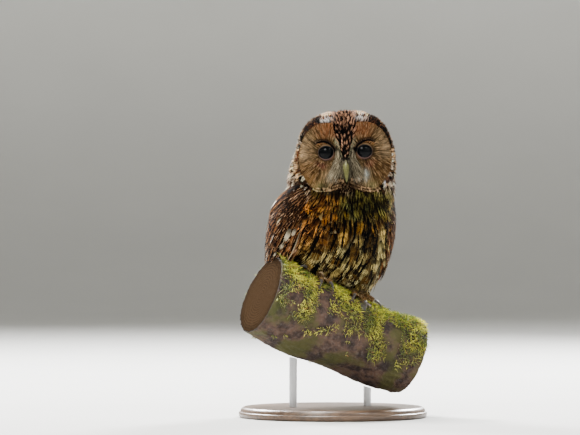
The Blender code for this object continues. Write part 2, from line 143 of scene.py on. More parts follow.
def smoothstep(low, high, value):
    t = np.clip((value - low) / (high - low), 0, 1)
    return t * t * (3 - 2 * t)


def falling(low, high, value):
    """1 up to low, and down smoothly to 0 at high."""
    return 1 - smoothstep(low, high, value)


def bump(value, centre, spread):
    """1 at centre, falling smoothly to 0 over about twice spread."""
    return np.exp(-(((value - centre) / spread) ** 2))


def tangent(directions, normals):
    along = (directions * normals).sum(-1, keepdims=True)
    return unit(directions - normals * along)


def stacked(*values):
    """Arrays or single numbers side by side, as the columns of one array."""
    return np.stack(np.broadcast_arrays(*values), -1).astype(float)


def taken(which, *arrays):
    return [array[which] for array in arrays]


def alternating(count):
    return np.where(np.arange(count) % 2, 1.0, -1.0)


def blend(first, second, share):
    """From first, where the share is 0, to second, with a share for each row."""
    share = np.reshape(share, (-1, 1))
    return first * (1 - share) + second * share


def noise_at(points, size, seed=0.0):
    """Smooth noise in about -1 to 1 with features of the given size."""
    shift = Vector((seed, 3.1 * seed, -1.7 * seed))
    return np.array([noise.noise(Vector(p) / size + shift) for p in points])


def rotation(angle, axis):
    return np.array(Matrix.Rotation(angle, 3, axis))


HEAD_MATRIX = rotation(HEAD_TURN, "Z") @ rotation(HEAD_ROLL, "Y")


def millimetres(points):
    return (points - PERCH_POINT) / MM


def to_face(points):
    """Points of the frame in millimetres in the face frame."""
    return ((points - PERCH_POINT - HEAD_AXIS - HEAD_SHIFT) @ HEAD_MATRIX + HEAD_AXIS) / MM


def from_face(points):
    return (points * MM - HEAD_AXIS) @ HEAD_MATRIX.T + HEAD_AXIS + HEAD_SHIFT + PERCH_POINT


def face_directions(vectors):
    """Directions given in the face frame, in the model's frame."""
    return vectors @ HEAD_MATRIX.T


# ---------------------------------------------------------------- meshes


def linked(name, data):
    """A new object in the scene."""
    made = bpy.data.objects.new(name, data)
    bpy.context.scene.collection.objects.link(made)
    return made


def add_piece(name, mesh, material):
    piece = linked(name, mesh)
    mesh.materials.append(material)
    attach(piece, "root")
    return piece


def quad_mesh(name, vertices, quads):
    mesh = bpy.data.meshes.new(name)
    mesh.vertices.add(len(vertices))
    mesh.vertices.foreach_set("co", np.asarray(vertices, dtype=np.float32).ravel())
    mesh.loops.add(quads.size)
    mesh.loops.foreach_set("vertex_index", quads.astype(np.int32).ravel())
    mesh.polygons.add(len(quads))
    mesh.polygons.foreach_set("loop_start", np.arange(0, quads.size, 4, dtype=np.int32))
    mesh.update(calc_edges=True)
    mesh.shade_smooth()
    return mesh


def ring_quads(first, second, turns):
    """Quads between two closed rings of vertices, from where each ring starts."""
    k = np.arange(turns)
    j = (k + 1) % turns
    return np.stack([first + k, first + j, second + j, second + k], 1)


def smooth_mesh(name, bm):
    """The mesh of a bmesh, which is freed."""
    mesh = bpy.data.meshes.new(name)
    bm.to_mesh(mesh)
    bm.free()
    mesh.shade_smooth()
    return mesh


def joined(meshes):
    bm = bmesh.new()
    for mesh in meshes:
        bm.from_mesh(mesh)
    return smooth_mesh("joined", bm)


def joined_nodes(names):
    return joined(NODES[name].data for name in names)


def set_colour(mesh, name, colours):
    attribute = mesh.color_attributes.new(name, "FLOAT_COLOR", "POINT")
    rgba = np.ones((len(colours), 4), dtype=np.float32)
    rgba[:, :3] = np.clip(colours, 0, 1)
    attribute.data.foreach_set("color", rgba.ravel())


def set_uv(mesh, name, per_vertex):
    layer = mesh.uv_layers.new(name=name)
    corners = np.empty(len(mesh.loops), dtype=np.int32)
    mesh.loops.foreach_get("vertex_index", corners)
    layer.data.foreach_set("uv", np.asarray(per_vertex, dtype=np.float32)[corners].ravel())


def vectors_of(items, key="co"):
    found = np.empty(len(items) * 3, dtype=np.float32)
    items.foreach_get(key, found)
    return found.reshape(-1, 3).astype(float)


def modified(mesh, *steps):
    """The mesh after modifiers, each given as its kind and settings."""
    piece = linked("modified", mesh)
    for kind, settings in steps:
        step = piece.modifiers.new("step", kind)
        for key, value in settings.items():
            setattr(step, key, value)
    graph = bpy.context.evaluated_depsgraph_get()
    mesh = bpy.data.meshes.new_from_object(piece.evaluated_get(graph))
    bpy.data.objects.remove(piece)
    return mesh


def smoothing(times):
    return "SMOOTH", {"factor": 0.5, "iterations": times}


def growing(depth):
    return "DISPLACE", {"strength": depth, "mid_level": 0}


REMADE = ("REMESH", {"mode": "VOXEL", "voxel_size": VOXEL})


def tree_of(mesh):
    mesh.calc_loop_triangles()
    triangles = [tuple(t.vertices) for t in mesh.loop_triangles]
    return BVHTree.FromPolygons([v.co for v in mesh.vertices], triangles)


def nearest(tree, points):
    """Nearest points of a surface and their normals."""
    found, normals = np.empty_like(points), np.empty_like(points)
    for i, point in enumerate(points):
        found[i], normals[i], _, _ = tree.find_nearest(point)
    return found, normals


# ---------------------------------------------------------------- skin and outer surface


def outer_surface():
    """One smooth closed surface out to the tips of the coat, with the clefts beside the wings
    filled: grown, made one again, and shrunk back."""
    names = [name for part in PARTS[:LEGS] for name in part]
    mesh = joined_nodes(names + ["eye_l", "eye_r"])
    mesh = modified(mesh, REMADE, growing(CLEFT), REMADE, smoothing(3), growing(-CLEFT), REMADE)
    return modified(joined([mesh] + [NODES[name].data for name in LIMBS]), REMADE, smoothing(4))


def part_of(points):
    """For each point, which part it lies on: the body where a wing or the tail is as near."""
    trees = [tree_of(joined_nodes(names)) for names in PARTS]
    distances = np.array([[tree.find_nearest(p)[3] for p in points] for tree in trees])
    return np.argmin(distances + np.array([[0], [0.2], [0.2], [0]]) * MM, axis=0)


def coat_depth(points, parts):
    """How far the skin lies inside the outer surface."""
    face = to_face(points)
    depth = np.choose(parts, [6.0, 2.2, 1.6, 1.4])
    head = smoothstep(118, 140, face[:, 2]) * (parts == BODY)
    depth = depth * (1 - head) + 4.0 * head
    disc = falling(1.0, 1.2, disc_reach(face)) * (face[:, 1] < -45) * (parts == BODY)
    return (depth * (1 - disc) + 2.4 * disc) * MM


def disc_reach(face):
    """Below 1 inside the facial disc's outline."""
    across = (np.abs(face[:, 0]) - DISC_CENTRE[0]) / DISC_RADII[0]
    up = face[:, 2] - DISC_CENTRE[1]
    up = up / np.where(up > 0, DISC_TOP_RADIUS, DISC_RADII[1])
    return np.hypot(across, up)


def build_skin(outer, tree, parts, material):
    """One skin under the whole coat, inside the outer surface by the coat's depth."""
    mesh = outer.copy()
    points, normals = vectors_of(mesh.vertices), vectors_of(mesh.vertex_normals, "vector")
    depth = coat_depth(points, parts)
    for i, (point, normal) in enumerate(zip(points, normals)):
        through = tree.ray_cast(point - normal * (0.3 * MM), -normal)[3]
        if through is not None:
            depth[i] = min(depth[i], SKIN_SHARE * through)
    mesh.vertices.foreach_set("co", (points - normals * depth[:, None]).astype(np.float32).ravel())
    mesh = modified(mesh, smoothing(3))
    set_colour(mesh, "Ground", skin_colours(points, parts))
    mesh.shade_smooth()
    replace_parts(add_piece("skin", mesh, material), *sum(PARTS, []))


def skin_colours(points, parts):
    """Colours of the skin: the coat's own, darkened as painted shade where feathers part a little."""
    first, second, _, bars = blended_looks(points)[1]
    colours = 0.35 * first + 0.25 * second + 0.15 * bars
    face = to_face(points)
    x, y, z = face.T
    disc = in_disc(face)
    colours[disc] = 0.45 * disc_colours(face[disc])
    colours[(eye_polar(face)[0] < 14) & (y < -40)] = srgb(84, 60, 40)
    colours[(np.abs(x) < wedge_width(z) + 2) & (z > 150) & (y < -40)] = srgb(20, 15, 12)
    # The throat band, darker still: painted shade under the head.
    colours[(z < 136) & (z > 96) & (y < -30)] = srgb(34, 27, 16)
    for part, tint in ((WINGS, (96, 58, 40)), (TAIL, (110, 72, 48)), (LEGS, (180, 155, 122))):
        colours[parts == part] = srgb(*tint)
    return colours


# ---------------------------------------------------------------- vanes


def vane_pattern(columns, joined_rows, rows):
    """A unit vane, whole near its root and split into tapering strands at its end: for each
    vertex its place across and along, its strand's middle, and how free the strand is there."""
    edges = np.linspace(-1, 1, columns + 1)
    vertices = [(edge, row / rows, edge, 0.0) for row in range(joined_rows + 1) for edge in edges]
    quads = []
    for row in range(joined_rows):
        for k in range(columns):
            a = row * (columns + 1) + k
            quads.append([a, a + 1, a + columns + 2, a + columns + 1])
    last = joined_rows * (columns + 1)
    previous = [(last + k, last + k + 1) for k in range(columns)]
    for row in range(joined_rows + 1, rows + 1):
        free = (row - joined_rows) / (rows - joined_rows)
        for k, (left, right) in enumerate(previous):
            start = len(vertices)
            middle = (edges[k] + edges[k + 1]) / 2
            vertices += [(edge, row / rows, middle, free) for edge in edges[k : k + 2]]
            quads.append([left, right, start + 1, start])
            previous[k] = (start, start + 1)
    return *np.array(vertices).T, np.array(quads)


PLAIN_VANE = vane_pattern(5, 3, 6)
BROAD_VANE = vane_pattern(8, 4, 8)
FLIGHT_VANE = vane_pattern(8, 11, 12)
FILAMENT = vane_pattern(1, 1, 3)
SMALL_VANE = vane_pattern(4, 2, 4)
LONG_FILAMENT = vane_pattern(1, 1, 5)

FIELDS = ("ground", "mark", "fringe", "pattern", "detail")

BAKE_CELLS = 300  # cells of the bake map along each side
BAKE_CELL = (1 / BAKE_CELLS, 1 / BAKE_CELLS)
CELL_STEPS = sorted(
    ((i, j) for i in range(-14, 15) for j in range(-14, 15)), key=lambda s: s[0] ** 2 + s[1] ** 2
)


class Coat:
    """Vanes gathered for one piece: their paths over the body, sizes and markings."""

    def __init__(self, name):
        self.name = name
        self.vertices, self.quads, self.uv, self.bake = [], [], [], []
        self.fields = {field: [] for field in FIELDS}
        self.count = 0
        self.taken = set()

    def free_cells(self, places):
        """Gives each vane its own small cell of the bake map, as near its place as can be."""
        found = np.empty((len(places), 2))
        starts = (np.clip(places, 0, 0.999) * BAKE_CELLS).astype(int)
        for n, (column, row) in enumerate(starts):
            for i, j in CELL_STEPS:
                cell = tuple(min(max(k, 0), BAKE_CELLS - 1) for k in (column + i, row + j))
                if cell not in self.taken:
                    break
            self.taken.add(cell)
            found[n] = cell
        return found / BAKE_CELLS

    def add(self, pattern, paths, normals, looks, places, patch=None):
        """Lays one vane along each path. Looks holds values and colours, one for each vane or
        one for all. Places are corners of the bake map: each vane gets this patch there, or
        else a free cell nearby."""
        across, along, strand, free, quads = pattern
        count, steps = paths.shape[:2]
        if not count:
            return
        if patch is None:
            places, patch = self.free_cells(places), BAKE_CELL

        def column(key):
            return np.broadcast_to(looks[key], count)[:, None]

        strands, which = np.unique(np.round(strand, 4), return_inverse=True)
        jitter = RNG.normal(0, 1, (count, len(strands)))[:, which]
        reach = 1 - column("round") * np.abs(strand) ** 2.2 + jitter * column("fray") * free
        t = along * np.clip(reach, 0.2, 1.12)
        place = t * (steps - 1)
        i = np.clip(place.astype(int), 0, steps - 2)
        f = (place - i)[..., None]
        rows = np.arange(count)[:, None]
        centre = paths[rows, i] * (1 - f) + paths[rows, i + 1] * f
        out = unit(normals[rows, i] * (1 - f) + normals[rows, i + 1] * f)
        ahead = unit(paths[rows, i + 1] - paths[rows, i])
        side = unit(np.cross(ahead, out))
        splay = jitter * column("splay") * free
        spread = strand + (across - strand) * (1 - 0.8 * free) + splay
        width = column("half_width") * (smoothstep(-0.35, 0.45, along) * (1 - 0.12 * along)) * spread
        lift = -column("depth") * np.clip(1 - t, 0, 1) ** 1.3 + column("raise") * t**2
        lift = lift - column("cup") * np.abs(spread) ** 2 * column("half_width")
        lift = lift + 0.35 * jitter * column("splay") * free * column("half_width")
        self.vertices.append(centre + side * width[..., None] + out * lift[..., None])
        base = self.count + np.arange(count)[:, None, None] * len(across)
        self.quads.append(quads[None] + base)
        self.count += count * len(across)
        flat = stacked(0.5 + 0.5 * spread, t)
        self.uv.append(flat)
        self.bake.append(places[:, None, :] + (0.06 + 0.88 * np.clip(flat, 0, 1)) * np.array(patch))
        for field in FIELDS:
            value = np.reshape(looks[field], (-1, 1, 3))
            self.fields[field].append(np.broadcast_to(value, (count, len(across), 3)))

    def build(self, material, slot):
        def gathered(lists, width):
            return np.concatenate([values.reshape(-1, width) for values in lists])

        mesh = quad_mesh(self.name, gathered(self.vertices, 3), gathered(self.quads, 4))
        set_uv(mesh, "Vane", gathered(self.uv, 2))
        set_uv(mesh, "OFBake", np.clip(gathered(self.bake, 2), 0, 1))
        for field in FIELDS:
            set_colour(mesh, field.capitalize(), gathered(self.fields[field], 3))
        return add_piece(self.name, mesh, material)


class Coats(dict):
    """The coat's pieces by name, each made when it is first asked for."""

    def __missing__(self, name):
        self[name] = Coat(name)
        return self[name]


def plain_looks(half_width, depth, rise, ground, rng, **changes):
    """Looks for vanes with no markings, with sizes in millimetres and any of them changed."""
    looks = {
        "half_width": half_width * MM, "depth": depth * MM,
        "raise": rng.uniform(0.2, 1.4, len(ground)) * rise * MM,
        "round": 0.4, "fray": 0.06, "splay": 0.1, "cup": 0.14,
        "ground": ground, "mark": ground * 0.35, "fringe": ground * 1.3,
        "pattern": (0.0, 0.0, 0.0), "detail": (0.0, 0.24, 0.0),
    }
    return looks | changes


def walk(tree, starts, lie, lengths, steps):
    """Paths that follow the lie of the coat over a surface."""
    place, normal = nearest(tree, starts)
    paths, normals = [place], [normal]
    for _ in range(steps):
        ahead = tangent(lie(place), normal)
        place, normal = nearest(tree, place + ahead * np.reshape(lengths / steps, (-1, 1)))
        paths.append(place)
        normals.append(normal)
    return np.stack(paths, 1), np.stack(normals, 1)


def spread_points(points, spacing):
    """Picks points, in their random order, that keep their own spacing from each other."""
    cell = float(spacing.max())
    grid, kept = {}, []
    keys = np.floor(points / cell).astype(int)
    near = [(i, j, k) for i in (-1, 0, 1) for j in (-1, 0, 1) for k in (-1, 0, 1)]

    def crowded(x, y, z, key, gap):
        for a, b, c in near:
            for px, py, pz in grid.get((key[0] + a, key[1] + b, key[2] + c), ()):
                if (x - px) ** 2 + (y - py) ** 2 + (z - pz) ** 2 < gap:
                    return True
        return False

    for n, (point, key) in enumerate(zip(points, keys)):
        if not crowded(*point, key, spacing[n] ** 2):
            grid.setdefault(tuple(key), []).append(tuple(point))
            kept.append(n)
    return np.array(kept, dtype=int)


def scatter(mesh, count):
    """Random points spread evenly over a mesh, and the vertex each is nearest."""
    mesh.calc_loop_triangles()
    corners = np.empty(len(mesh.loop_triangles) * 3, dtype=np.int32)
    mesh.loop_triangles.foreach_get("vertices", corners)
    corners = corners.reshape(-1, 3)
    points = vectors_of(mesh.vertices)
    a, b, c = (points[corners[:, k]] for k in range(3))
    area = np.linalg.norm(np.cross(b - a, c - a), axis=1)
    pick = RNG.choice(len(area), count, p=area / area.sum())
    r, s = RNG.random((2, count))
    root = np.sqrt(r)
    weights = np.stack([1 - root, root * (1 - s), root * s], 1)
    found = np.einsum("nk,nkd->nd", weights, points[corners[pick]])
    return found, corners[pick, weights.argmax(1)]


def spread_over(outer, parts, part, count, spacing):
    """Points of one part of the outer surface, picked from count to be spacing (mm) apart."""
    points, vertex = scatter(outer, count)
    points = points[parts[vertex] == part]
    return points[spread_points(points, np.full(len(points), spacing * MM))]


# ---------------------------------------------------------------- the coat's lie and markings


def body_axis(height):
    """How far back the body's leaning axis is at a height, mm."""
    return 20 - 0.33 * height


def body_azimuth(p):
    """Angle round the body: 0 in front, positive towards the owl's left, pi at the back."""
    return np.arctan2(p[:, 0], -(p[:, 1] - body_axis(p[:, 2])))


def body_lie(points):
    """The lie of the body's feathers: back from the bill over the head, then down the body."""
    p, face = millimetres(points), to_face(points)
    belly, low = falling(40, 95, p[:, 2]), falling(5, 50, p[:, 2])
    sideways = -0.34 * belly - 0.35 * low * smoothstep(-20, 40, p[:, 0])
    backwards = 0.30 + 0.32 * belly * np.abs(p[:, 0]) / 50
    down = stacked(sideways + 0.10 * noise_at(points, 22 * MM, 9.0), backwards, -0.9)
    back = unit(face - np.array([0, -86, 163]))
    fall = smoothstep(-62, -8, face[:, 1])[:, None] * np.array([0, 0, -1.1])
    return blend(down, face_directions(back + fall), smoothstep(120, 152, face[:, 2]))


def wedge_width(height):
    """Half width of the dark wedge between the two halves of the disc, mm."""
    return np.interp(height, [150, 158, 166, 180, 200, 212], [1.5, 3.0, 5.0, 8.5, 14.0, 16.0])


def trunk_share(p):
    return falling(108, 124, p[:, 2])


def belly_share(p):
    """1 over the belly and 0 over the breast: the belly reaches higher at the sides."""
    low = 60 + 12 * smoothstep(0.1, 0.6, np.abs(body_azimuth(p)))
    return falling(low, low + 22, p[:, 2])


def zone_weights(points):
    """How much each point belongs to each zone of the coat."""
    p, face = millimetres(points), to_face(points)
    x, y, z = face.T
    around = np.abs(body_azimuth(p))
    reach = disc_reach(face)
    front = falling(-48, -30, y)
    head = smoothstep(118, 134, z)
    wedge = front * smoothstep(152, 158, z) * falling(0.8, 1.25, np.abs(x) / wedge_width(z))
    top = smoothstep(182, 204, z)
    brace = bump(np.abs(x), 19.5, 6.5) * smoothstep(207, 211, z) * falling(-44, -16, y)
    crown = top * falling(40, 58, np.abs(x))
    nape = head * (1 - top) * smoothstep(-45, -15, y)
    cheek = head * (1 - top) * falling(-45, -10, y) * smoothstep(1.0, 1.1, reach)
    trunk = 1 - head
    throat = trunk * smoothstep(90, 104, p[:, 2]) * falling(0.7, 1.15, around)
    front_side = falling(1.5, 2.0, around)
    breast = trunk * front_side * (1 - belly_share(p))
    belly = trunk * front_side * belly_share(p)
    back = trunk * smoothstep(1.5, 2.0, around)
    vent = trunk * falling(-8, 2, p[:, 2]) * smoothstep(25, 45, y)
    turned = body_azimuth(p)
    flank = trunk * bump(turned, 1.32, 0.26) * falling(52, 74, p[:, 2])
    flank += trunk * bump(turned, 1.85, 0.35) * falling(26, 42, p[:, 2])
    return {
        "crown": crown, "wedge": 4 * wedge, "brace": 4 * brace, "nape": nape, "cheek": cheek,
        "throat": 2.5 * throat, "breast": breast, "belly": belly,
        "flank": 3 * flank, "back": back, "vent": 2 * vent,
    }


# Each zone: length, half width, spacing, depth, raise (mm); streak, bars, fringe, mottle;
# then its two ground colours, its fringe and its bars.
ZONES = {
    "crown": (9.5, 2.7, 2.9, 3.0, 1.0, 0.42, 0.10, 0.85, 1.2,
              (26, 20, 16), (112, 76, 50), (226, 184, 144), (20, 14, 11)),
    "wedge": (6.2, 0.85, 1.3, 2.2, 1.5, 0.05, 0.05, 0.20, 1.8,
              (19, 20, 27), (222, 182, 154), (216, 172, 140), (14, 10, 9)),
    "brace": (9, 2.4, 2.7, 3.0, 1.4, 0.02, 0.05, 0.9, 0.10,
              (255, 252, 250), (250, 232, 220), (255, 252, 250), (50, 34, 26)),
    "nape": (15, 3.6, 4.0, 4.5, 0.8, 0.36, 0.35, 0.6, 1.0,
             (168, 130, 88), (64, 44, 28), (220, 186, 140), (40, 26, 16)),
    "cheek": (11, 2.7, 3.3, 4.0, 1.3, 0.10, 0.35, 0.85, 1.4,
              (252, 232, 208), (118, 92, 74), (255, 246, 236), (26, 18, 12)),
    # The throat's olive-grey is its own, darkened also as painted shade under the head.
    "throat": (11, 2.8, 3.3, 4.5, 1.6, 0.30, 0.30, 0.4, 1.3,
               (110, 124, 72), (38, 38, 20), (158, 168, 116), (18, 16, 9)),
    "breast": (21, 5.4, 6.0, 6.0, 2.4, 0.34, 0.40, 0.45, 1.3,
               (218, 182, 104), (98, 74, 32), (236, 208, 150), (26, 18, 8)),
    "belly": (34, 10.0, 9.6, 7.0, 2.6, 0.20, 0.75, 0.25, 1.0,
              (212, 197, 144), (126, 101, 57), (226, 216, 176), (30, 21, 10)),
    "flank": (30, 4.4, 5.0, 6.0, 1.6, 0.14, 0.30, 0.6, 0.6,
              (236, 228, 200), (176, 156, 112), (252, 248, 236), (96, 66, 34)),
    "back": (24, 5.4, 6.0, 6.0, 1.0, 0.32, 0.60, 0.45, 0.8,
             (146, 102, 62), (90, 60, 36), (196, 152, 104), (38, 24, 15)),
    "vent": (26, 5.5, 7.0, 5.5, 1.0, 0.16, 0.20, 0.5, 0.5,
             (246, 240, 226), (212, 192, 156), (252, 248, 238), (120, 90, 54)),
}


def blended_looks(points):
    """Sizes and markings for contour feathers at points, blended over the zones."""
    weights = zone_weights(points)
    share = np.stack([weights[name] for name in ZONES], 1) + 1e-9
    share[:, list(ZONES).index("nape")] += 1e-6
    share /= share.sum(1, keepdims=True)
    numbers = share @ np.array([ZONES[name][:9] for name in ZONES])
    colours = [share @ np.array([srgb(*ZONES[name][k]) for name in ZONES]) for k in (9, 10, 11, 12)]
    return numbers, colours


def lean_line(p, spacing, seed):
    """Wavy dark lines that run down the body with the feathers: 1 on a line, 0 between."""
    fan = np.exp(0.0060 * (p[:, 2] - 40))
    across = body_azimuth(p) * 66 * fan
    warp = noise_at(p, 26.0, seed) * 0.9
    return 0.5 + 0.5 * np.sin(2 * math.pi * across / spacing + warp + 0.4)


def body_looks(points):
    """Sizes and markings of the contour feathers that start at points."""
    count = len(points)
    p = millimetres(points)
    height, azimuth, belly, trunk = p[:, 2], body_azimuth(p), belly_share(p), trunk_share(p)
    numbers, (first, second, fringe, bars) = blended_looks(points)
    length, half_width, _, depth, rise, streak, barred, edging, mottle = numbers.T
    pick = 0.5 + mottle * (0.9 * noise_at(points, 5.5 * MM, 2.0) + RNG.normal(0, 0.30, count))
    pick = np.where(mottle > 1.5, RNG.random(count) < 0.27, smoothstep(0.35, 0.65, pick))[:, None]
    ground = blend(first, second, pick)
    warm = smoothstep(0.15, 0.65, -azimuth) - smoothstep(1.3, 1.8, -azimuth)
    warm = warm * smoothstep(62, 84, height) * falling(118, 132, height)
    warm = (warm * RNG.uniform(0.4, 1.0, count))[:, None]
    ground = ground * (1 - warm) + srgb(226, 160, 92) * warm * (1 - 0.7 * pick)
    fringe = fringe * (1 - 0.7 * warm) + srgb(240, 184, 118) * 0.7 * warm
    # Darker down the middle of the breast; lighter up the owl's left side above the belly, a painted
    # light on that side.
    middle_dark_left_lit = bump(azimuth, 0.12, 0.36) * smoothstep(58, 84, height) * falling(118, 130, height)
    middle_dark_left_lit = middle_dark_left_lit - 1.5 * smoothstep(0.3, 0.8, azimuth) * (1 - belly) * trunk
    # Painted shadow on the body under the lower front edge of the owl's right wing.
    painted_wing_shadow = smoothstep(1.0, 1.3, -azimuth) * falling(66, 86, height)
    ground = ground * (1 - 0.45 * middle_dark_left_lit)[:, None] * (1 - 0.35 * painted_wing_shadow)[:, None]
    ground = ground * (1 - 0.2 * belly * smoothstep(-0.4, 0.1, azimuth))[:, None]
    tint = (trunk * (1 - 0.6 * belly) * RNG.normal(0, 1, count))[:, None]
    ground = ground * np.clip(1 + tint * np.array([0.0, 0.10, 0.34]), 0.2, 2.0)
    blotch = (0.55 - 0.3 * belly) * noise_at(stacked(azimuth * 7, height / 19, 0), 1.0, 15.0)
    change = 0.25 * noise_at(points, 14 * MM, 5.0) + blotch + RNG.normal(0, 0.18, count)
    ground = ground * np.clip(1 + np.minimum(mottle, 1) * change, 0.2, 1.7)[:, None]
    wide = smoothstep(0.5, 0.85, lean_line(p, 20.0, 4.0))
    narrow = smoothstep(0.35, 0.8, lean_line(p, 12.5, 6.0))
    streak = streak * RNG.uniform(0.75, 1.25, count)
    lined = belly * (0.02 + 0.38 * wide) + (1 - belly) * (0.12 + 0.55 * narrow)
    lined = 0.25 * streak + 0.85 * lined * RNG.uniform(0.6, 1.4, count)
    streak = np.where((p[:, 1] < 45) & (height < 118), lined, streak)
    scale = 1 + RNG.normal(0, 0.08, count)
    head = smoothstep(112, 128, to_face(points)[:, 2])
    plain = RNG.random(count) < head * (0.25 + 0.6 * pick[:, 0])
    edged = edging * np.where(plain, 0.05, RNG.uniform(0.2, 1.1, count))
    return {
        "length": length * MM * scale, "half_width": half_width * MM * scale, "depth": depth * MM,
        "raise": rise * MM * RNG.uniform(0.1, 1.7, count),
        "ground": ground,
        "mark": bars * RNG.uniform(0.7, 1.3, (count, 1)),
        "fringe": fringe * RNG.uniform(0.8, 1.2, (count, 1)),
        "pattern": stacked(streak, barred * RNG.uniform(0.5, 1.2, count), 0),
        "detail": stacked(edged, RNG.uniform(0.13, 0.22, count), 0),
        "round": 0.42, "fray": 0.07, "splay": 0.10, "cup": 0.16,
    }


def body_places(points):
    """Where points fall on an unwrap of the body: round it and up it."""
    p = millimetres(points)
    return stacked(body_azimuth(p) / (2 * math.pi) + 0.5, (p[:, 2] + 30) / 265)


def in_disc(face, grow=1.0):
    """Which points of the face frame lie on the facial disc."""
    reach = disc_reach(face)
    inside = (reach < grow) & (np.abs(face[:, 0]) > wedge_width(face[:, 2]))
    inside |= (reach < grow) & (face[:, 2] < 155)
    inside |= (np.abs(face[:, 0]) < 24) & (face[:, 2] < 155) & (face[:, 2] > 122.5)
    return inside & (face[:, 1] < -45)


def add_body_coat(outer, tree, parts, coats):
    """Contour feathers over the head, neck and trunk."""
    points, vertex = scatter(outer, count=120000)
    points = points[parts[vertex] == BODY]
    face, p = to_face(points), millimetres(points)
    under_rim = (disc_reach(face) > 0.84) & (face[:, 2] < 133)
    points = points[(~in_disc(face, 0.99) | under_rim) & (p[:, 2] > -14)]
    points = points[spread_points(points, blended_looks(points)[0][:, 2] * MM)]
    looks = body_looks(points)
    sway = RNG.normal(0, 0.13, (len(points), 3))

    paths, normals = walk(
        tree, points, lambda place: unit(body_lie(place)) + sway, looks["length"], steps=3
    )
    p, face = millimetres(points), to_face(points)
    head = face[:, 2] > 126
    crown = head & (face[:, 1] < -25)
    front = ~head & (np.abs(body_azimuth(p)) <= 1.6)
    high = p[:, 2] > 66
    groups = [
        ("coat_crown", PLAIN_VANE, crown), ("coat_nape", PLAIN_VANE, head & ~crown),
        ("coat_back", BROAD_VANE, ~head & ~front), ("coat_breast", BROAD_VANE, front & high),
        ("coat_belly", BROAD_VANE, front & ~high),
    ]
    for name, pattern, own in groups:
        own_looks = {key: value[own] if np.ndim(value) else value for key, value in looks.items()}
        coats[name].add(pattern, paths[own], normals[own], own_looks, body_places(points[own]))


# Dark lines that run down the belly: angle round the body, height (mm) and length in strands
BELLY_LINES = [
    (-0.95, 60, 4), (-0.62, 68, 5), (-0.30, 70, 5), (0.02, 80, 5),
    (0.30, 88, 6), (0.52, 64, 4), (0.80, 92, 6), (1.02, 66, 4),
]


def add_belly_lines(tree, coats):
    """Narrow dark feathers in lines down the belly, between its pale ones."""
    rng = np.random.default_rng(29)
    angle, height, length = np.repeat(np.array(BELLY_LINES), STRANDS_IN_LINE, axis=0).T
    angle = angle + rng.normal(0, 0.020, len(angle))
    height = height + rng.uniform(-9, 9, len(height))
    ahead = stacked(90 * np.sin(angle), body_axis(height) - 90 * np.cos(angle), height)
    starts = nearest(tree, PERCH_POINT + ahead * MM)[0]
    for step in range(int(length.max())):
        starts, length = taken(length > step, starts, length)
        count = len(starts)
        paths, normals = walk(tree, starts, body_lie, rng.uniform(21, 27, count) * MM, steps=3)
        ground = srgb(24, 17, 11) * rng.uniform(0.4, 1.2, (count, 1))
        width = rng.uniform(0.7, 1.5, count)
        looks = plain_looks(width, 1.0, 4.4, ground, rng, round=0.5, fray=0.1, splay=0.3)
        looks["raise"] = np.maximum(looks["raise"], 3.0 * MM)
        coats["coat_belly"].add(PLAIN_VANE, paths, normals, looks, body_places(starts))
        starts = paths[:, 2]


# ---------------------------------------------------------------- facial disc


def face_lie(points):
    """Filaments of the disc run outwards from each eye, and from the bill's base below it."""
    x, _, z = to_face(points).T
    from_eye = stacked(x - np.sign(x + 1e-9) * EYE[0], z - EYE[1])
    from_bill = stacked(x, z - 162.0)
    inner = falling(10, 30, np.abs(x)) * falling(156, 170, z)
    flat = unit(blend(unit(from_eye), unit(from_bill), inner))
    return face_directions(stacked(flat[:, 0], 0, flat[:, 1]))


def eye_polar(face):
    """Distance from the nearer eye and angle round it: 0 outwards, upwards positive."""
    dx, dz = np.abs(face[:, 0]) - EYE[0], face[:, 2] - EYE[1]
    return np.hypot(dx, dz), np.arctan2(dz, dx)


def laid(colour, weight, tint):
    return blend(colour, srgb(*tint), np.clip(weight, 0, 1))


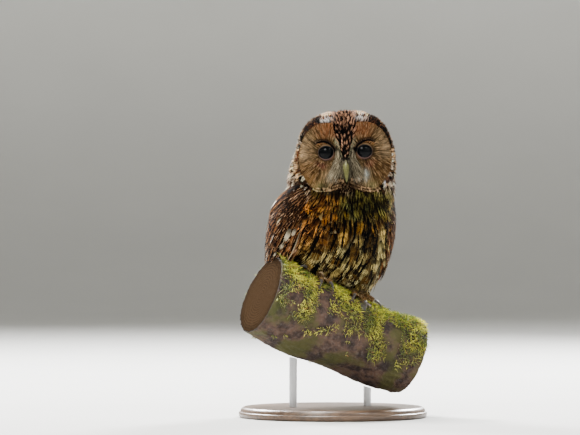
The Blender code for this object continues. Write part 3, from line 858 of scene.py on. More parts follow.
def disc_colours(face):
    """Colours of the disc by place in the face frame."""
    x, z = np.abs(face[:, 0]), face[:, 2]
    dx, dz = x - EYE[0], z - EYE[1]
    far, angle = eye_polar(face)
    fan, line = fan_share(face), brow_line(face)
    near_bill = falling(5, 10, x) * smoothstep(136, 142, z) * falling(158, 166, z)
    beside = x - wedge_width(z)
    brow = smoothstep(-0.5, 1.0, beside) * falling(4.5, 8, beside) * smoothstep(156, 164, z)
    layers = [
        (bump(far, 23, 8) * bump(angle, 0.1, 0.7), (198, 162, 124)),
        (smoothstep(0.84, 1.0, disc_reach(face)) * 0.55, (112, 78, 44)),
        (smoothstep(10, 19, dz) * falling(-2, 18, dx), (190, 126, 80)),
        (smoothstep(20, 32, dz) * falling(12, 30, dx) * 0.8, (172, 116, 70)),
        (falling(-14, -4, dz) * smoothstep(2, 14, dx) * 0.75, (150, 108, 60)),
        (bump(x, 31, 9) * bump(z, 134, 8) * 0.8, (176, 160, 108)),
        (fan * 1.1, (172, 164, 146)),
        (bump(face[:, 0], 23.5, 4) * bump(z, 150, 5), (250, 244, 232)),
        (bump(x, 18, 7) * bump(z, 147, 7) * 0.35, (220, 208, 190)),
        (near_bill * 0.8, (92, 86, 70)),
        (bump(far, 14.0, 2.8) * bump(angle, -1.15, 0.45), (164, 104, 80)),
        (brow * falling(182, 192, z) * 0.85, (190, 180, 146)),
        (bump(x, 0, 14) * falling(136, 147, z) * 0.97, (44, 26, 12)),
        (bump(x, 19, 9) * bump(z, 130, 7) * 0.6, (176, 140, 104)),
    ]
    c = srgb(152, 120, 80)
    for weight, tint in layers:
        c = laid(c, weight, tint)
    shaded_side = 1.0 - 0.2 * smoothstep(-10, 25, face[:, :1])
    c = (0.86 * c + 0.14 * c.mean(1, keepdims=True)) * shaded_side
    c = c * (1 - (1 - fan[:, None]) * np.array([0.26, 0.15, 0.08]))
    c = laid(c, bump(line, -4, 3), (146, 112, 74))
    return laid(c, smoothstep(-0.9, -0.5, line) * falling(0.5, 0.9, line), (5, 4, 4))


def brow_line(face):
    """Distance outside the dark line that curves over the upper and inner side of each eye, mm."""
    dx = np.abs(face[:, 0]) - EYE[0] - BROW_SHIFT[0]
    dz = face[:, 2] - EYE[1] - BROW_SHIFT[1]
    turned = np.arctan2(dz, dx)
    out = np.hypot(dx, dz) - BROW_RADIUS
    return np.where((turned > 1.1) & (turned < 3.3), out, 99.0)


def fan_share(face):
    """How much each point belongs to the two grey fans that spread down from the bill's base."""
    x, z = np.abs(face[:, 0]), face[:, 2]
    down = 166.0 - z
    slope = np.arctan2(x, np.maximum(down, 0.1))
    between = smoothstep(0.02, 0.22, slope) * falling(0.60, 0.85, slope)
    return between * smoothstep(2, 8, down) * falling(22, 32, np.hypot(x, down))


def face_streaks(face):
    """Fine lighter and darker rays that run out from each eye."""
    far, angle = eye_polar(face)
    return noise_at(stacked(angle * 8, far * 0.06, np.sign(face[:, 0]) * 5), 1.0, 4.0)


def face_places(x, z):
    """Where points fall on an unwrap of the facial disc."""
    return stacked(0.5 + x / 130, (z - 115) / 105)


def add_face(outer, tree, parts, coats):
    """Fine filaments over both halves of the facial disc."""
    points, vertex = scatter(outer, count=800000)
    face = to_face(points)
    x, z = np.abs(face[:, 0]), face[:, 2]
    far, angle = eye_polar(face)
    lid_edge = lid_opening(angle) + np.where(z > EYE[1], 2.2, 1.5)
    bill = (x < 3.0) & (z < 158) & (z > 137)
    beside_chin = (x > 8) & (x < 32) & (z < 138) & (disc_reach(face) > 0.72)
    on_face = in_disc(face, 1.03) & (parts[vertex] == BODY)
    points = points[on_face & (far > lid_edge) & ~bill & ~beside_chin]
    points = points[spread_points(points, np.full(len(points), 0.72 * MM))]
    face = to_face(points)
    x, z = np.abs(face[:, 0]), face[:, 2]
    count = len(points)
    far, angle = eye_polar(face)
    length = np.interp(far, [9, 10, 14, 26, 45], [3.0, 4.5, 7.0, 10.5, 9.5])
    length = length * RNG.uniform(0.8, 1.15, count)
    length = np.minimum(length, np.maximum((1 - disc_reach(face)) * 38, 0) + 2.5)
    line = brow_line(face)
    within = np.clip(-0.9 - line, 0.8, length)
    length = np.where(line < -0.7, within, np.where(line < 0.8, 1.3, length))
    inward = (np.cos(angle) < -0.2) & (z > 158)
    beside = np.maximum(x - wedge_width(z), 0) + 1.5
    length = np.where(inward, np.minimum(length, beside), length)
    fan = fan_share(face)
    rays = 1 + (0.75 + 0.7 * fan) * face_streaks(face) + RNG.normal(0, 0.18, count) * (1 + fan)
    colour = disc_colours(face) * np.clip(rays, 0.25, 1.9)[:, None]
    colour[RNG.random(count) < 0.07 + 0.1 * fan] *= 0.35
    tipped = RNG.random(count) < 0.16
    colour[tipped] = 0.5 * colour[tipped] + 0.5 * srgb(226, 196, 160)
    width = RNG.uniform(0.34, 0.56, count)
    looks = plain_looks(width, 1.4, 0.8, colour, RNG, round=0, fray=0.05, splay=0.4, cup=0)
    paths, normals = walk(tree, points, face_lie, length * MM, steps=2)
    coats["coat_face"].add(FILAMENT, paths, normals, looks, face_places(face[:, 0], z))


def on_ball(reach):
    """How far the eyeball stands before its centre, at a distance from its middle, mm."""
    return np.sqrt((EYE_RADIUS / MM) ** 2 - np.minimum(reach, BALL_EDGE) ** 2)


def lid_height(reach):
    """How far the lid stands before the eyeball's centre, mm."""
    rise = np.interp(reach - 8.5, [0, 2.4, 3.9, 5.2, 7.0], [0.6, 1.2, 1.3, 0.4, -2.2])
    return on_ball(reach) + rise


def facing_front(shape):
    """Normals that look straight out of the face."""
    return np.broadcast_to(face_directions(np.array([0.0, -1.0, 0.0])), shape)


def add_brow_lines(tree, coats):
    """Thin dark lines of fine feathers that curve over the upper and inner side of each eye."""
    rng = np.random.default_rng(16)
    count = 480
    side = alternating(count)[:, None]
    turned = rng.uniform(1.15, 3.05, count)[:, None] + np.linspace(0, 0.3, 4)[None]
    wide = np.interp(turned, [1.15, 1.5, 2.9, 3.35], [0.15, 0.5, 0.65, 0.2])
    radius = BROW_RADIUS + wide * rng.normal(0, 1.0, (count, 1))
    x = EYE[0] + BROW_SHIFT[0] + radius * np.cos(turned)
    z = EYE[1] + BROW_SHIFT[1] + radius * np.sin(turned)
    ahead = from_face(stacked(side * x, AHEAD, z).reshape(-1, 3))
    surface = to_face(nearest(tree, ahead)[0])[:, 1].reshape(x.shape)
    left, right = (to_face(eye_frame(k)[0][None])[0, 1] for k in (1, -1))
    lids = np.where(side > 0, left, right) - lid_height(np.hypot(x - EYE[0], z - EYE[1]))
    paths = from_face(stacked(side * x, np.minimum(surface, lids) - 1.1, z))
    ground = np.tile(srgb(6, 5, 4), (count, 1))
    width = rng.uniform(0.3, 0.5, count)
    looks = plain_looks(width, 0.0, 0.0, ground, rng, round=0, fray=0, splay=0.1, cup=0)
    places = face_places((side * x)[:, 0], z[:, 0])
    coats["coat_face"].add(FILAMENT, paths, facing_front(paths.shape), looks, places)


def disc_edge(angle, reach):
    """Place in the face's plane at an angle round the disc's left half, mm."""
    tall = DISC_TOP_RADIUS if angle > 0 else DISC_RADII[1]
    across, up = DISC_RADII[0] * reach * np.cos(angle), tall * reach * np.sin(angle)
    return DISC_CENTRE[0] + across, DISC_CENTRE[1] + up


def rim_looks(row, reach, angle, side, rng):
    """Ground colour, bars and fringe of one rim feather: black above, in pale and dark arcs below."""
    dark, pale, rufous = srgb(13, 10, 9), srgb(236, 206, 168), srgb(124, 82, 52)
    upper = smoothstep(0.0, 0.45, angle)
    if rng.random() < upper:
        if 1.13 < reach and 1.5 < angle < 1.87:
            return pale * 1.2, 0.0, 1.0
        if reach > 1.21:
            return (rufous, 0.0, 0.3) if rng.random() < 0.75 else (pale, 0.3, 0.8)
        return (dark, 0.0, 0.05) if rng.random() < 0.86 else (rufous, 0.0, 0.7)
    gap = (-0.75, -0.14) if side > 0 else (-1.25, -0.5)
    if gap[0] < angle < gap[1] and 0.98 < reach < 1.09:
        return dark, 0.0, 0.05
    if angle > -0.35 and reach < 1.05:
        return (rufous * 1.1, 0.2, 0.3) if rng.random() < 0.6 else (pale, 0.3, 0.7)
    light = row % 2 == 0 if angle < -0.6 else rng.random() < 0.55
    if rng.random() < 0.08:
        light = not light
    # Pale arcs lighter on the owl's right side and darker on its left: painted light and shade on the
    # two sides.
    return (pale * (1.3 if side < 0 else 0.9), 0.1, 0.6) if light else (dark, 0.0, 0.1)


def add_rim(tree, coats):
    """Rows of small stiff feathers round the outline of the disc and under it."""
    rng = np.random.default_rng(14)
    starts, ahead, marks = [], [], []
    for side in (-1, 1):
        for row, reach in enumerate(np.arange(0.712, 1.30, 0.048)):
            angle = -2.3
            while angle < 2.0:
                x, z = disc_edge(angle, reach)
                turning = math.hypot(DISC_RADII[0] * math.sin(angle), DISC_RADII[1] * math.cos(angle))
                angle += (1.7 if angle < -0.8 else 2.1) / turning * rng.uniform(0.8, 1.2)
                inner = np.interp(angle, [-2.3, -1.25, -0.9], [0.70, 0.80, 0.975])
                outer = np.interp(angle, [-2.3, -1.2, -0.6, -0.2], [0.95, 0.96, 1.03, 1.3])
                if not inner <= reach <= outer or x < 3 or (x < wedge_width(z) + 1 and z > 150):
                    continue
                starts.append([side * x, -62.0 if reach < 1.15 else -55.0, z])
                ahead.append([side * math.cos(angle), 0.5, math.sin(angle) - 0.15])
                marks.append(rim_looks(row, reach, angle, side, rng))
    ground, bars, fringe = (np.array(column) for column in zip(*marks))
    starts, count = np.array(starts), len(starts)
    lie = face_directions(unit(np.array(ahead) + rng.normal(0, 0.10, (count, 3))))
    ground = ground * rng.uniform(0.6, 1.25, (count, 1))
    chin = bump(starts[:, 0], 0, 13) * falling(136, 147, starts[:, 2])
    ground = laid(ground, chin * 0.9, (58, 32, 14))
    looks = plain_looks(rng.uniform(1.4, 2.0, count), 1.8, 2.0, ground, rng, round=0.35)
    looks.update(
        mark=srgb(26, 17, 12),
        fringe=srgb(232, 196, 160) * (1 - 0.8 * chin[:, None]),
        pattern=stacked(rng.uniform(0.0, 0.25, count), bars, 0),
        detail=stacked(fringe, rng.uniform(0.20, 0.27, count), 0),
    )
    length = rng.uniform(6.5, 8.5, count)
    length = np.where(starts[:, 2] < 142, 5.2 + 0.15 * (length - 7.5), length) * MM
    paths, normals = walk(tree, from_face(starts), lambda place: lie, length, steps=2)
    places = stacked(0.5 + starts[:, 0] / 140, (starts[:, 2] - 105) / 125)
    coats["coat_rim"].add(SMALL_VANE, paths, normals, looks, places)


def add_bristles(tree, coats):
    """Fine bristles from beside the bill's base, down over its sides and out in two fans."""
    rng = np.random.default_rng(15)
    count = 3800
    side = alternating(count)
    z = 157 + 22 * rng.uniform(0, 1, count) ** 1.8
    low = z < 166
    outwards = rng.uniform(0, 1, count) ** 1.3
    x = np.where(low, 0.3, wedge_width(z)) + np.where(low, 11.0, 4.5) * outwards
    t = np.linspace(0, 1, 6)[None]
    y = to_face(nearest(tree, from_face(stacked(side * x, AHEAD, z)))[0])[:, 1]
    long = rng.uniform(11, 20, count)
    over = np.interp(x, [1, 5, 12], [15.0, 12.0, 2.5]) * rng.uniform(0.85, 1.1, count)
    near, far = rng.uniform(0.0, 0.12, count), 0.062 * x * rng.uniform(0.7, 1.15, count)
    slope = np.where(x < 4, near, far)
    height = z[:, None] - long[:, None] * (0.35 * t + 0.65 * t**1.4)
    under = np.clip(164.0 - height, 0, None) - np.clip(164.0 - z, 0, None)[:, None]
    across = side[:, None] * (x[:, None] + 1.2 * t + under * slope[:, None])
    ahead = y[:, None] + 1.5 - over[:, None] * np.sin(math.pi * np.clip(t * 0.72, 0, 1))
    paths = from_face(stacked(across, ahead, height))
    ground = blend(srgb(44, 38, 29), srgb(196, 186, 164), rng.uniform(0, 1, count) ** 1.3)
    # Lighter outwards from the bill, and 1.35 times on the owl's right side against 0.95 on its left: a
    # painted light on that side.
    tone_and_side_light = np.interp(x, [1, 5, 9], [0.4, 0.8, 1.1]) * np.where(side < 0, 1.35, 0.95)
    ground = ground * tone_and_side_light[:, None]
    width = rng.uniform(0.22, 0.42, count)
    looks = plain_looks(width, 0.0, 0.0, ground, rng, round=0, fray=0, splay=0.2, cup=0)
    places = stacked(0.5 + side * x / 30, (z - 145) / 40)
    normals = facing_front(paths.shape)
    coats["coat_bristles"].add(LONG_FILAMENT, paths, normals, looks, places)


# ---------------------------------------------------------------- wings and tail


def wing_rows(stations):
    """The stations as rows of numbers, each led by its share of the way down the wing."""
    spine = np.array([station[0] for station in stations]) * MM
    run = np.concatenate([[0.0], np.cumsum(np.linalg.norm(np.diff(spine, axis=0), axis=1))])
    sizes = np.array([station[2:] for station in stations]) * MM
    return np.column_stack([run / run[-1], spine, [station[1] for station in stations], sizes])


WING_ROWS = {1: wing_rows(LEFT_WING_STATIONS), -1: wing_rows(RIGHT_WING_STATIONS)}


def curve_through(rows, key):
    """Smooth curve through table rows (key, values ...) at an array of keys."""
    last = len(rows) - 1
    i = np.clip(np.searchsorted(rows[:, 0], key, side="right") - 1, 0, last - 1)
    a, b, c, d = (rows[np.clip(i + step, 0, last), 1:] for step in (-1, 0, 1, 2))
    t = np.clip((key - rows[i, 0]) / (rows[i + 1, 0] - rows[i, 0]), 0, 1)[..., None]
    return (b + 0.5 * t * (c - a) + t**2 * (a - 2.5 * b + 2 * c - 0.5 * d)
            + 0.5 * t**3 * (3 * (b - c) + d - a))


def wing_surface(run, chord, side):
    """Points and normals of a folded wing's outer face. Chord: -1 at its lower edge, 1 at its upper."""
    rows, step = WING_ROWS[side], 0.02
    found = curve_through(rows, run)
    ahead = unit(curve_through(rows, run + step)[..., :3] - curve_through(rows, run - step)[..., :3])
    out = tangent(found[..., 3:6], ahead)
    upwards = unit(np.cross(out, ahead))
    half, thickness = found[..., 6:7], found[..., 7:8]
    across = half * chord[..., None]
    rise = 0.5 * thickness * np.sqrt(np.clip(1 - chord[..., None] ** 2, 0, 1))
    bend = across / WING_CAMBER_RADIUS
    points = found[..., :3] + upwards * across + out * (rise - across * bend / 2)
    normals = unit(out + upwards * bend)
    if side < 0:
        mirror = np.array([-1, 1, 1])
        turn = rotation(RIGHT_WING_OPENING, "Z")
        pivot = np.array([-54, -48, 0]) * MM
        points = (points * mirror - pivot) @ turn.T + pivot
        normals = (normals * mirror) @ turn.T
    return points + PERCH_POINT, normals


def wing_paths(side, run0, run1, chord0, chord1, layer, steps=8):
    """Paths along a wing's outer face, lifted by layer (mm)."""
    t = np.linspace(0, 1, steps + 1)[None]
    run = run0[:, None] * (1 - t) + run1[:, None] * t
    chord = chord0[:, None] * (1 - t) + chord1[:, None] * t
    paths, normals = wing_surface(run, chord, side)
    return paths + normals * np.reshape(layer * MM, (-1, 1, 1)), normals


# Rows of wing feathers. Pairs run from the lower, front feather to the upper, back one:
# count, run at root, run at tip, chord at root, chord at tip, half width (mm), layer (mm)
WING_FEATHERS = {
    "primary": (9, (0.30, 0.44), (0.985, 0.86), (-0.97, 0.0), (-0.6, 0.35), (4.6, 8.0), (-1.0, -0.4)),
    "secondary": (11, (0.30, 0.36), (0.80, 0.66), (-0.40, 0.92), (-0.05, 0.95), (7.5, 9.5), (-0.5, 0.5)),
    "greater": (13, (0.16, 0.24), (0.50, 0.55), (-0.98, 0.92), (-0.95, 0.90), (5.6, 7.5), (0.3, 0.8)),
    "median": (13, (0.09, 0.15), (0.36, 0.41), (-0.95, 0.95), (-0.95, 0.9), (5.4, 6.4), (0.9, 1.2)),
    "scapular": (9, (0.04, 0.20), (0.26, 0.54), (0.60, 0.95), (0.55, 0.86), (6.5, 7.5), (2.2, 1.8)),
}
# The same for the pale edge of the folded wing, by side, and for single whitish coverts
PALE_EDGES = {
    -1: (1, (0.15, 0), (0.42, 0), (-1.0, 0), (-0.98, 0), (0.8, 0), (4.6, 0)),
    1: (2, (0.28, 0.32), (0.50, 0.56), (-0.98, -0.93), (-0.96, -0.92), (1.8, 1.4), (2.2, 1.9)),
}
PALE_COVERTS = [
    (0.215, 0.28, -0.71, 3.7), (0.20, 0.235, -0.85, 2.4), (0.285, 0.32, -0.70, 2.6),
    (0.205, 0.24, -0.22, 1.3), (0.35, 0.385, -0.62, 1.5),
]


def tinted(count, first, second, rng):
    return blend(srgb(*first), srgb(*second), rng.uniform(0, 1, count))


def flight_looks(kind, half_width, rng):
    """Markings of the long wing and tail feathers and their coverts."""
    count = len(half_width)
    ground = tinted(count, (142, 112, 80), (170, 140, 106), rng)
    looks = plain_looks(half_width, 0.5, 0.4, ground, rng, round=0.10, fray=0.008, splay=0.02, cup=0.10)
    looks.update(
        mark=tinted(count, (34, 22, 14), (48, 32, 20), rng),
        fringe=tinted(count, (206, 174, 138), (190, 152, 114), rng),
        pattern=(0.05, 0.9, 0.0), detail=(0.25, 0.55, 0.0),
    )
    if kind in ("greater", "median", "scapular"):
        spot = np.where(rng.random(count) < 0.45, rng.uniform(0.6, 1.0, count), 0.0)
        looks["raise"] = rng.uniform(0.5, 1.2, count) * MM
        looks.update(
            round=0.24, fray=0.03, ground=tinted(count, (152, 112, 76), (108, 76, 50), rng),
            pattern=stacked(rng.uniform(0.20, 0.36, count), 0.6, 1 if kind == "scapular" else spot),
            detail=(0.5, 0.34, 0.0),
        )
    return looks


def row_values(row):
    """Values for each feather of a row, from its pairs for the first and the last."""
    count, *pairs = row
    k = np.linspace(0, 1, count)
    return [a + (b - a) * k for a, b in pairs]


def add_wing(side, coats):
    """A folded wing's rows of long feathers, and the small ones over them."""
    end = "_l" if side > 0 else "_r"
    rng = np.random.default_rng(5)
    slot, width = 0, 0.98 / sum(row[0] for row in WING_FEATHERS.values())
    for kind, row in WING_FEATHERS.items():
        run0, run1, chord0, chord1, half, layer = row_values(row)
        count = len(half)
        run1 = run1 + rng.normal(0, 0.006, count)
        chord1 = chord1 + rng.normal(0, 0.012, count)
        paths, normals = wing_paths(side, run0, run1, chord0, chord1, layer)
        looks = flight_looks(kind, half, rng)
        looks["detail"] = (*looks["detail"][:2], float(side < 0))
        places = stacked(0.01 + (slot + np.arange(count)) * width, 0.02)
        coats["coat_quills" + end].add(FLIGHT_VANE, paths, normals, looks, places, (width, 0.96))
        slot += count
    add_lesser_coverts(side, coats["coat_wing" + end])
    add_pale_feathers(side, coats["coat_wing" + end])


def add_pale_feathers(side, coat):
    """The pale front edge of the folded wing and its few whitish coverts."""
    rng = np.random.default_rng(23)
    rows = [row_values(PALE_EDGES[side])]
    if side < 0:
        run0, run1, chord, half = np.array(PALE_COVERTS).T
        rows.append([run0, run1, chord, chord, half, 2.8])
    for run0, run1, chord0, chord1, half, layer in rows:
        paths, normals = wing_paths(side, run0, run1, chord0, chord1, layer, 4)
        ground = tinted(len(half), (224, 214, 192), (200, 186, 160), rng)
        looks = plain_looks(half, 1.2, 0.8, ground, rng, round=0.35, fray=0.08)
        coat.add(BROAD_VANE, paths, normals, looks, wing_places(run0, chord0))


def wing_places(run, chord):
    """Where points fall on an unwrap of the shoulder: down the wing and across it."""
    return stacked(run * 2.2, 0.5 + 0.49 * chord)


def add_lesser_coverts(side, coat):
    """Small loose feathers from the shoulder down the wing's outer face."""
    rng = np.random.default_rng(21)
    run, chord = rng.uniform(-0.01, 0.40, 9000), rng.uniform(-1, 1, 9000)
    size = np.interp(run, [0, 0.2, 0.4], [2.9, 3.8, 5.0])
    kept = spread_points(wing_surface(run, chord, side)[0], size * MM)
    run, chord, size = taken(kept, run, chord, size)
    count = len(run)
    paths, normals = wing_paths(side, run, run + size * 4.0 / 250, chord, chord * 0.98, 1.4, 3)
    ground = tinted(count, (156, 118, 80), (74, 52, 34), rng)
    mottled = rng.random(count) < 0.28
    ground[mottled] = srgb(226, 196, 166)
    if side > 0:
        dark = rng.random(count) < 0.45
        ground[dark] = srgb(30, 22, 17)
        ground[~dark & ~mottled] *= np.array([1.25, 1.0, 0.7])
    looks = plain_looks(size * 0.72, 2.4, 1.0, ground, rng)
    looks.update(
        mark=tinted(count, (34, 22, 14), (52, 34, 22), rng),
        fringe=tinted(count, (228, 196, 166), (182, 142, 106), rng),
        pattern=stacked(rng.uniform(0.30, 0.65, count), rng.uniform(0.2, 0.6, count), 0),
        detail=stacked(rng.uniform(0.3, 1.0, count), 0.24, 0),
    )
    coat.add(PLAIN_VANE, paths, normals, looks, wing_places(run, chord))


def spine_points(side):
    """Points down the middle of a folded wing, and the way it runs there."""
    points, _ = wing_surface(np.linspace(0, 1, 60), np.zeros(60), side)
    return points, unit(np.gradient(points, axis=0))


def add_wing_lining(outer, tree, parts, coats):
    """Short feathers over every side of the wings, under the rows of long ones."""
    lines = [spine_points(side) for side in (-1, 1)]

    def lie(points):
        found = np.empty_like(points)
        for n, point in enumerate(points):
            middle, ahead = lines[int(point[0] > 0)]
            found[n] = ahead[np.argmin(((middle - point) ** 2).sum(1))]
        return found

    points = spread_over(outer, parts, WINGS, count=60000, spacing=5.4)
    rng = np.random.default_rng(31)
    for side, name in ((-1, "coat_wing_r"), (1, "coat_wing_l")):
        own = points[np.sign(points[:, 0]) == side]
        count = len(own)
        ground = tinted(count, (146, 102, 66), (180, 138, 98), rng)
        looks = plain_looks(4.6, 1.8, 0.5, ground, rng, detail=(0.4, 0.24, 0.0))
        looks["mark"] = tinted(count, (60, 36, 25), (80, 50, 34), rng)
        looks["pattern"] = stacked(0.2, rng.uniform(0.3, 0.8, count), 0)
        paths, normals = walk(tree, own, lie, 20 * MM, steps=3)
        p = millimetres(own)
        places = stacked(0.5 + p[:, 1] / 260, (p[:, 2] + 90) / 240)
        coats[name].add(PLAIN_VANE, paths, normals, looks, places)


def tail_surface(along, across, face):
    """Points and normals of the tail's upper (face 1) or lower (face -1) side."""
    down = unit(TAIL_TIP - TAIL_ROOT)
    out = np.array([0, -down[2], down[1]])
    half = np.interp(along, [0, 1], TAIL_HALF_WIDTHS)
    thick = np.interp(along, [0, 1], TAIL_THICKNESSES) * (1 - 0.75 * across**2)
    centre = TAIL_ROOT + (TAIL_TIP - TAIL_ROOT) * along[..., None]
    points = centre + out * (face * 0.5 * thick - TAIL_ARCH * across**2)[..., None]
    points = points + stacked(across * half, 0, 0)
    tilt = stacked(2 * TAIL_ARCH * across / half, 0, 0)
    return points + PERCH_POINT, unit(out * face + tilt * face)


def add_tail(outer, tree, parts, coats):
    """Twelve long feathers above and below, fanned from the middle pair, over short ones."""
    coat = coats["coat_tail"]
    rng = np.random.default_rng(8)
    t = np.linspace(0, 1, 9)[None]
    order = np.array([-5, 5, -4, 4, -3, 3, -2, 2, -1, 1, -0.3, 0.3]) / 5.0
    count = len(order)
    width = 0.49 / (2 * count)
    for slot, face in enumerate((1, -1)):
        k = order[::face]
        along = (-0.05 + 1.05 * t) * (1 - 0.07 * k[:, None] ** 2)
        across = k[:, None] * (0.70 + 0.10 * t)
        paths, normals = tail_surface(along, across, face)
        layer = (1 - np.abs(k)) if face > 0 else np.abs(k)
        paths = paths + normals * (layer * 1.2 * MM - 0.6 * MM)[:, None, None]
        looks = flight_looks("tail", np.full(count, 8.0), rng)
        looks["pattern"] = (0.05, 0.8 if face > 0 else 0.5, 0.0)
        looks["ground"] = tinted(count, (158, 112, 68), (180, 134, 88), rng)
        places = stacked(0.005 + (slot * count + np.arange(count)) * width, 0.02)
        coat.add(FLIGHT_VANE, paths, normals, looks, places, (width, 0.96))
    points = spread_over(outer, parts, TAIL, count=60000, spacing=5.0)
    down = unit(TAIL_TIP - TAIL_ROOT)
    paths, normals = walk(tree, points, lambda place: down, 17 * MM, steps=3)
    ground = tinted(len(points), (150, 98, 60), (176, 124, 84), rng)
    looks = plain_looks(4.2, 1.6, 0.3, ground, rng, pattern=(0.2, 0.6, 0.0))
    coat.taken = {(i, j) for i in range(BAKE_CELLS // 2) for j in range(BAKE_CELLS)}
    p = millimetres(points)
    places = stacked(0.75 + p[:, 0] / 160, (p[:, 2] + 100) / 130)
    coat.add(PLAIN_VANE, paths, normals, looks, places)


def on_perch(along, around, lift):
    """Points this far off the branch's solid: around is 0 on top and grows to the front."""
    along, around = np.broadcast_arrays(along, around)
    up = np.array([math.sin(PERCH_SLOPE), 0, math.cos(PERCH_SLOPE)])
    down = np.array([math.cos(PERCH_SLOPE), 0, -math.sin(PERCH_SLOPE)])
    bow = 5 * MM * (along / PERCH_ENDS[1]) ** 2
    centre = np.array([0, PERCH_BACKSET, 0]) - up * PERCH_RADIUS
    centre = centre + down * along[..., None] + up * bow[..., None]
    lumps = 1.4 * np.sin(3 * around + along / (17 * MM)) + 1.1 * np.sin(2 * around - along / (26 * MM))
    calm = smoothstep(45 * MM, 85 * MM, np.abs(along)) + (1 - np.cos(around)) / 2
    radius = PERCH_RADIUS - 0.022 * along + lumps * MM * np.minimum(calm, 1.0) + lift
    out = up * np.cos(around)[..., None] + np.array([0, -1, 0]) * np.sin(around)[..., None]
    return centre + out * radius[..., None] + PERCH_POINT, out


def add_legs(outer, tree, parts, coats):
    """Small pale feathers down the legs and out along the toes."""
    feet, _ = on_perch(np.array([-FOOT_ALONG, FOOT_ALONG]), np.zeros(2), 0)

    def lie(points):
        found = np.empty_like(points)
        for n, point in enumerate(points):
            out = point - feet[int(point[0] > 0)]
            high = smoothstep(8 * MM, 17 * MM, out[2])
            out[2] = 0
            found[n] = out / (np.linalg.norm(out) + 1e-9) * (1 - high) + np.array([0, 0, -1]) * high
        return found + np.array([0, 0, -0.25])

    points = spread_over(outer, parts, LEGS, count=90000, spacing=1.7)
    rng = np.random.default_rng(41)
    count = len(points)
    ground = tinted(count, (212, 188, 150), (176, 140, 98), rng)
    looks = plain_looks(rng.uniform(1.1, 1.5, count), 1.2, 0.7, ground, rng)
    looks["pattern"] = stacked(rng.uniform(0.1, 0.3, count), 0.3, 0)
    paths, normals = walk(tree, points, lie, rng.uniform(5.5, 7.5, count) * MM, steps=2)
    p = millimetres(points)
    places = stacked(0.5 + p[:, 0] / 140, 0.5 + (p[:, 2] - p[:, 1]) / 160)
    coats["coat_legs"].add(SMALL_VANE, paths, normals, looks, places)


# ---------------------------------------------------------------- branch and moss


def mossiness(points):
    """Where moss grows: most of the top, with bare patches of bark."""
    high = (points - PERCH_POINT)[:, 2] + 0.43 * points[:, 0]
    patch = noise_at(points, 24 * MM, 3.0) + 0.5 * noise_at(points, 9 * MM, 8.0)
    return patch + np.interp(high, [-0.11, -0.06, -0.015], [-0.75, 0.0, 0.55])


def build_bark(bark, sawn):
    """The cut length of branch: furrowed bark, with sawn ends that show the rings."""
    rows, turns, caps = 170, 240, 40
    along = np.linspace(*PERCH_ENDS, rows)[:, None]
    around = np.linspace(0, 2 * math.pi, turns, endpoint=False)[None]
    points, out = on_perch(along, around, 0)
    flat = points.reshape(-1, 3)
    level = (flat @ rotation(PERCH_SLOPE, "Y")) * np.array([0.35, 1, 1])
    ridges = 1 - 2 * np.abs(noise_at(level, 9 * MM, 1.0))
    lumps = 0.8 * noise_at(flat, 15 * MM, 2.0)
    relief = -3.4 + 1.5 * ridges + lumps + 0.5 * noise_at(flat, 3.5 * MM, 5.0)
    relief = np.minimum(relief, -1.2).reshape(rows, turns)
    points = points + out * (relief * MM)[..., None]
    rings, colours = list(points), [np.full((rows * turns, 3), 0.1)]
    quads = [ring_quads(row * turns, (row + 1) * turns, turns) for row in range(rows - 1)]
    wall = len(quads) * turns
    for end, previous in ((0, 0), (-1, (rows - 1) * turns)):
        centre = points[end].mean(0)
        for step in range(1, caps + 1):
            share = 1 - step / (caps + 0.4)
            ring = centre + (points[end] - centre) * share
            first = len(rings) * turns
            rings.append(ring)
            growth = 0.5 + 0.5 * np.sin(share * 88 + 2.0 * noise_at(ring, 30 * MM, 7.0))
            wood = blend(srgb(24, 17, 11), srgb(52, 38, 25), growth)
            wood = wood * (1.0 - 0.45 * smoothstep(0.72, 0.95, share))
            colours.append(wood if step > 1 else wood * 0.25)
            quad = ring_quads(previous, first, turns)
            quads.append(quad[:, ::-1] if end == 0 else quad)
            previous = first
    mesh = quad_mesh("perch_bark", np.concatenate(rings), np.concatenate(quads))
    close_caps(mesh, turns, caps, rows)
    set_colour(mesh, "Ground", np.concatenate(colours))
    made = add_piece("perch_bark", mesh, bark)
    mesh.materials.append(sawn)
    for polygon in mesh.polygons[wall:]:
        polygon.material_index = 1
    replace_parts(made, "perch")


def close_caps(mesh, turns, caps, rows):
    """Fills the small holes left in the middle of both sawn ends."""
    bm = bmesh.new()
    bm.from_mesh(mesh)
    bm.verts.ensure_lookup_table()
    for end in (0, 1):
        start = rows * turns + (end * caps + caps - 1) * turns
        ring = [bm.verts[start + k] for k in range(turns)]
        bm.faces.new(ring if end else ring[::-1])
    bmesh.ops.recalc_face_normals(bm, faces=bm.faces)
    bm.to_mesh(mesh)
    bm.free()


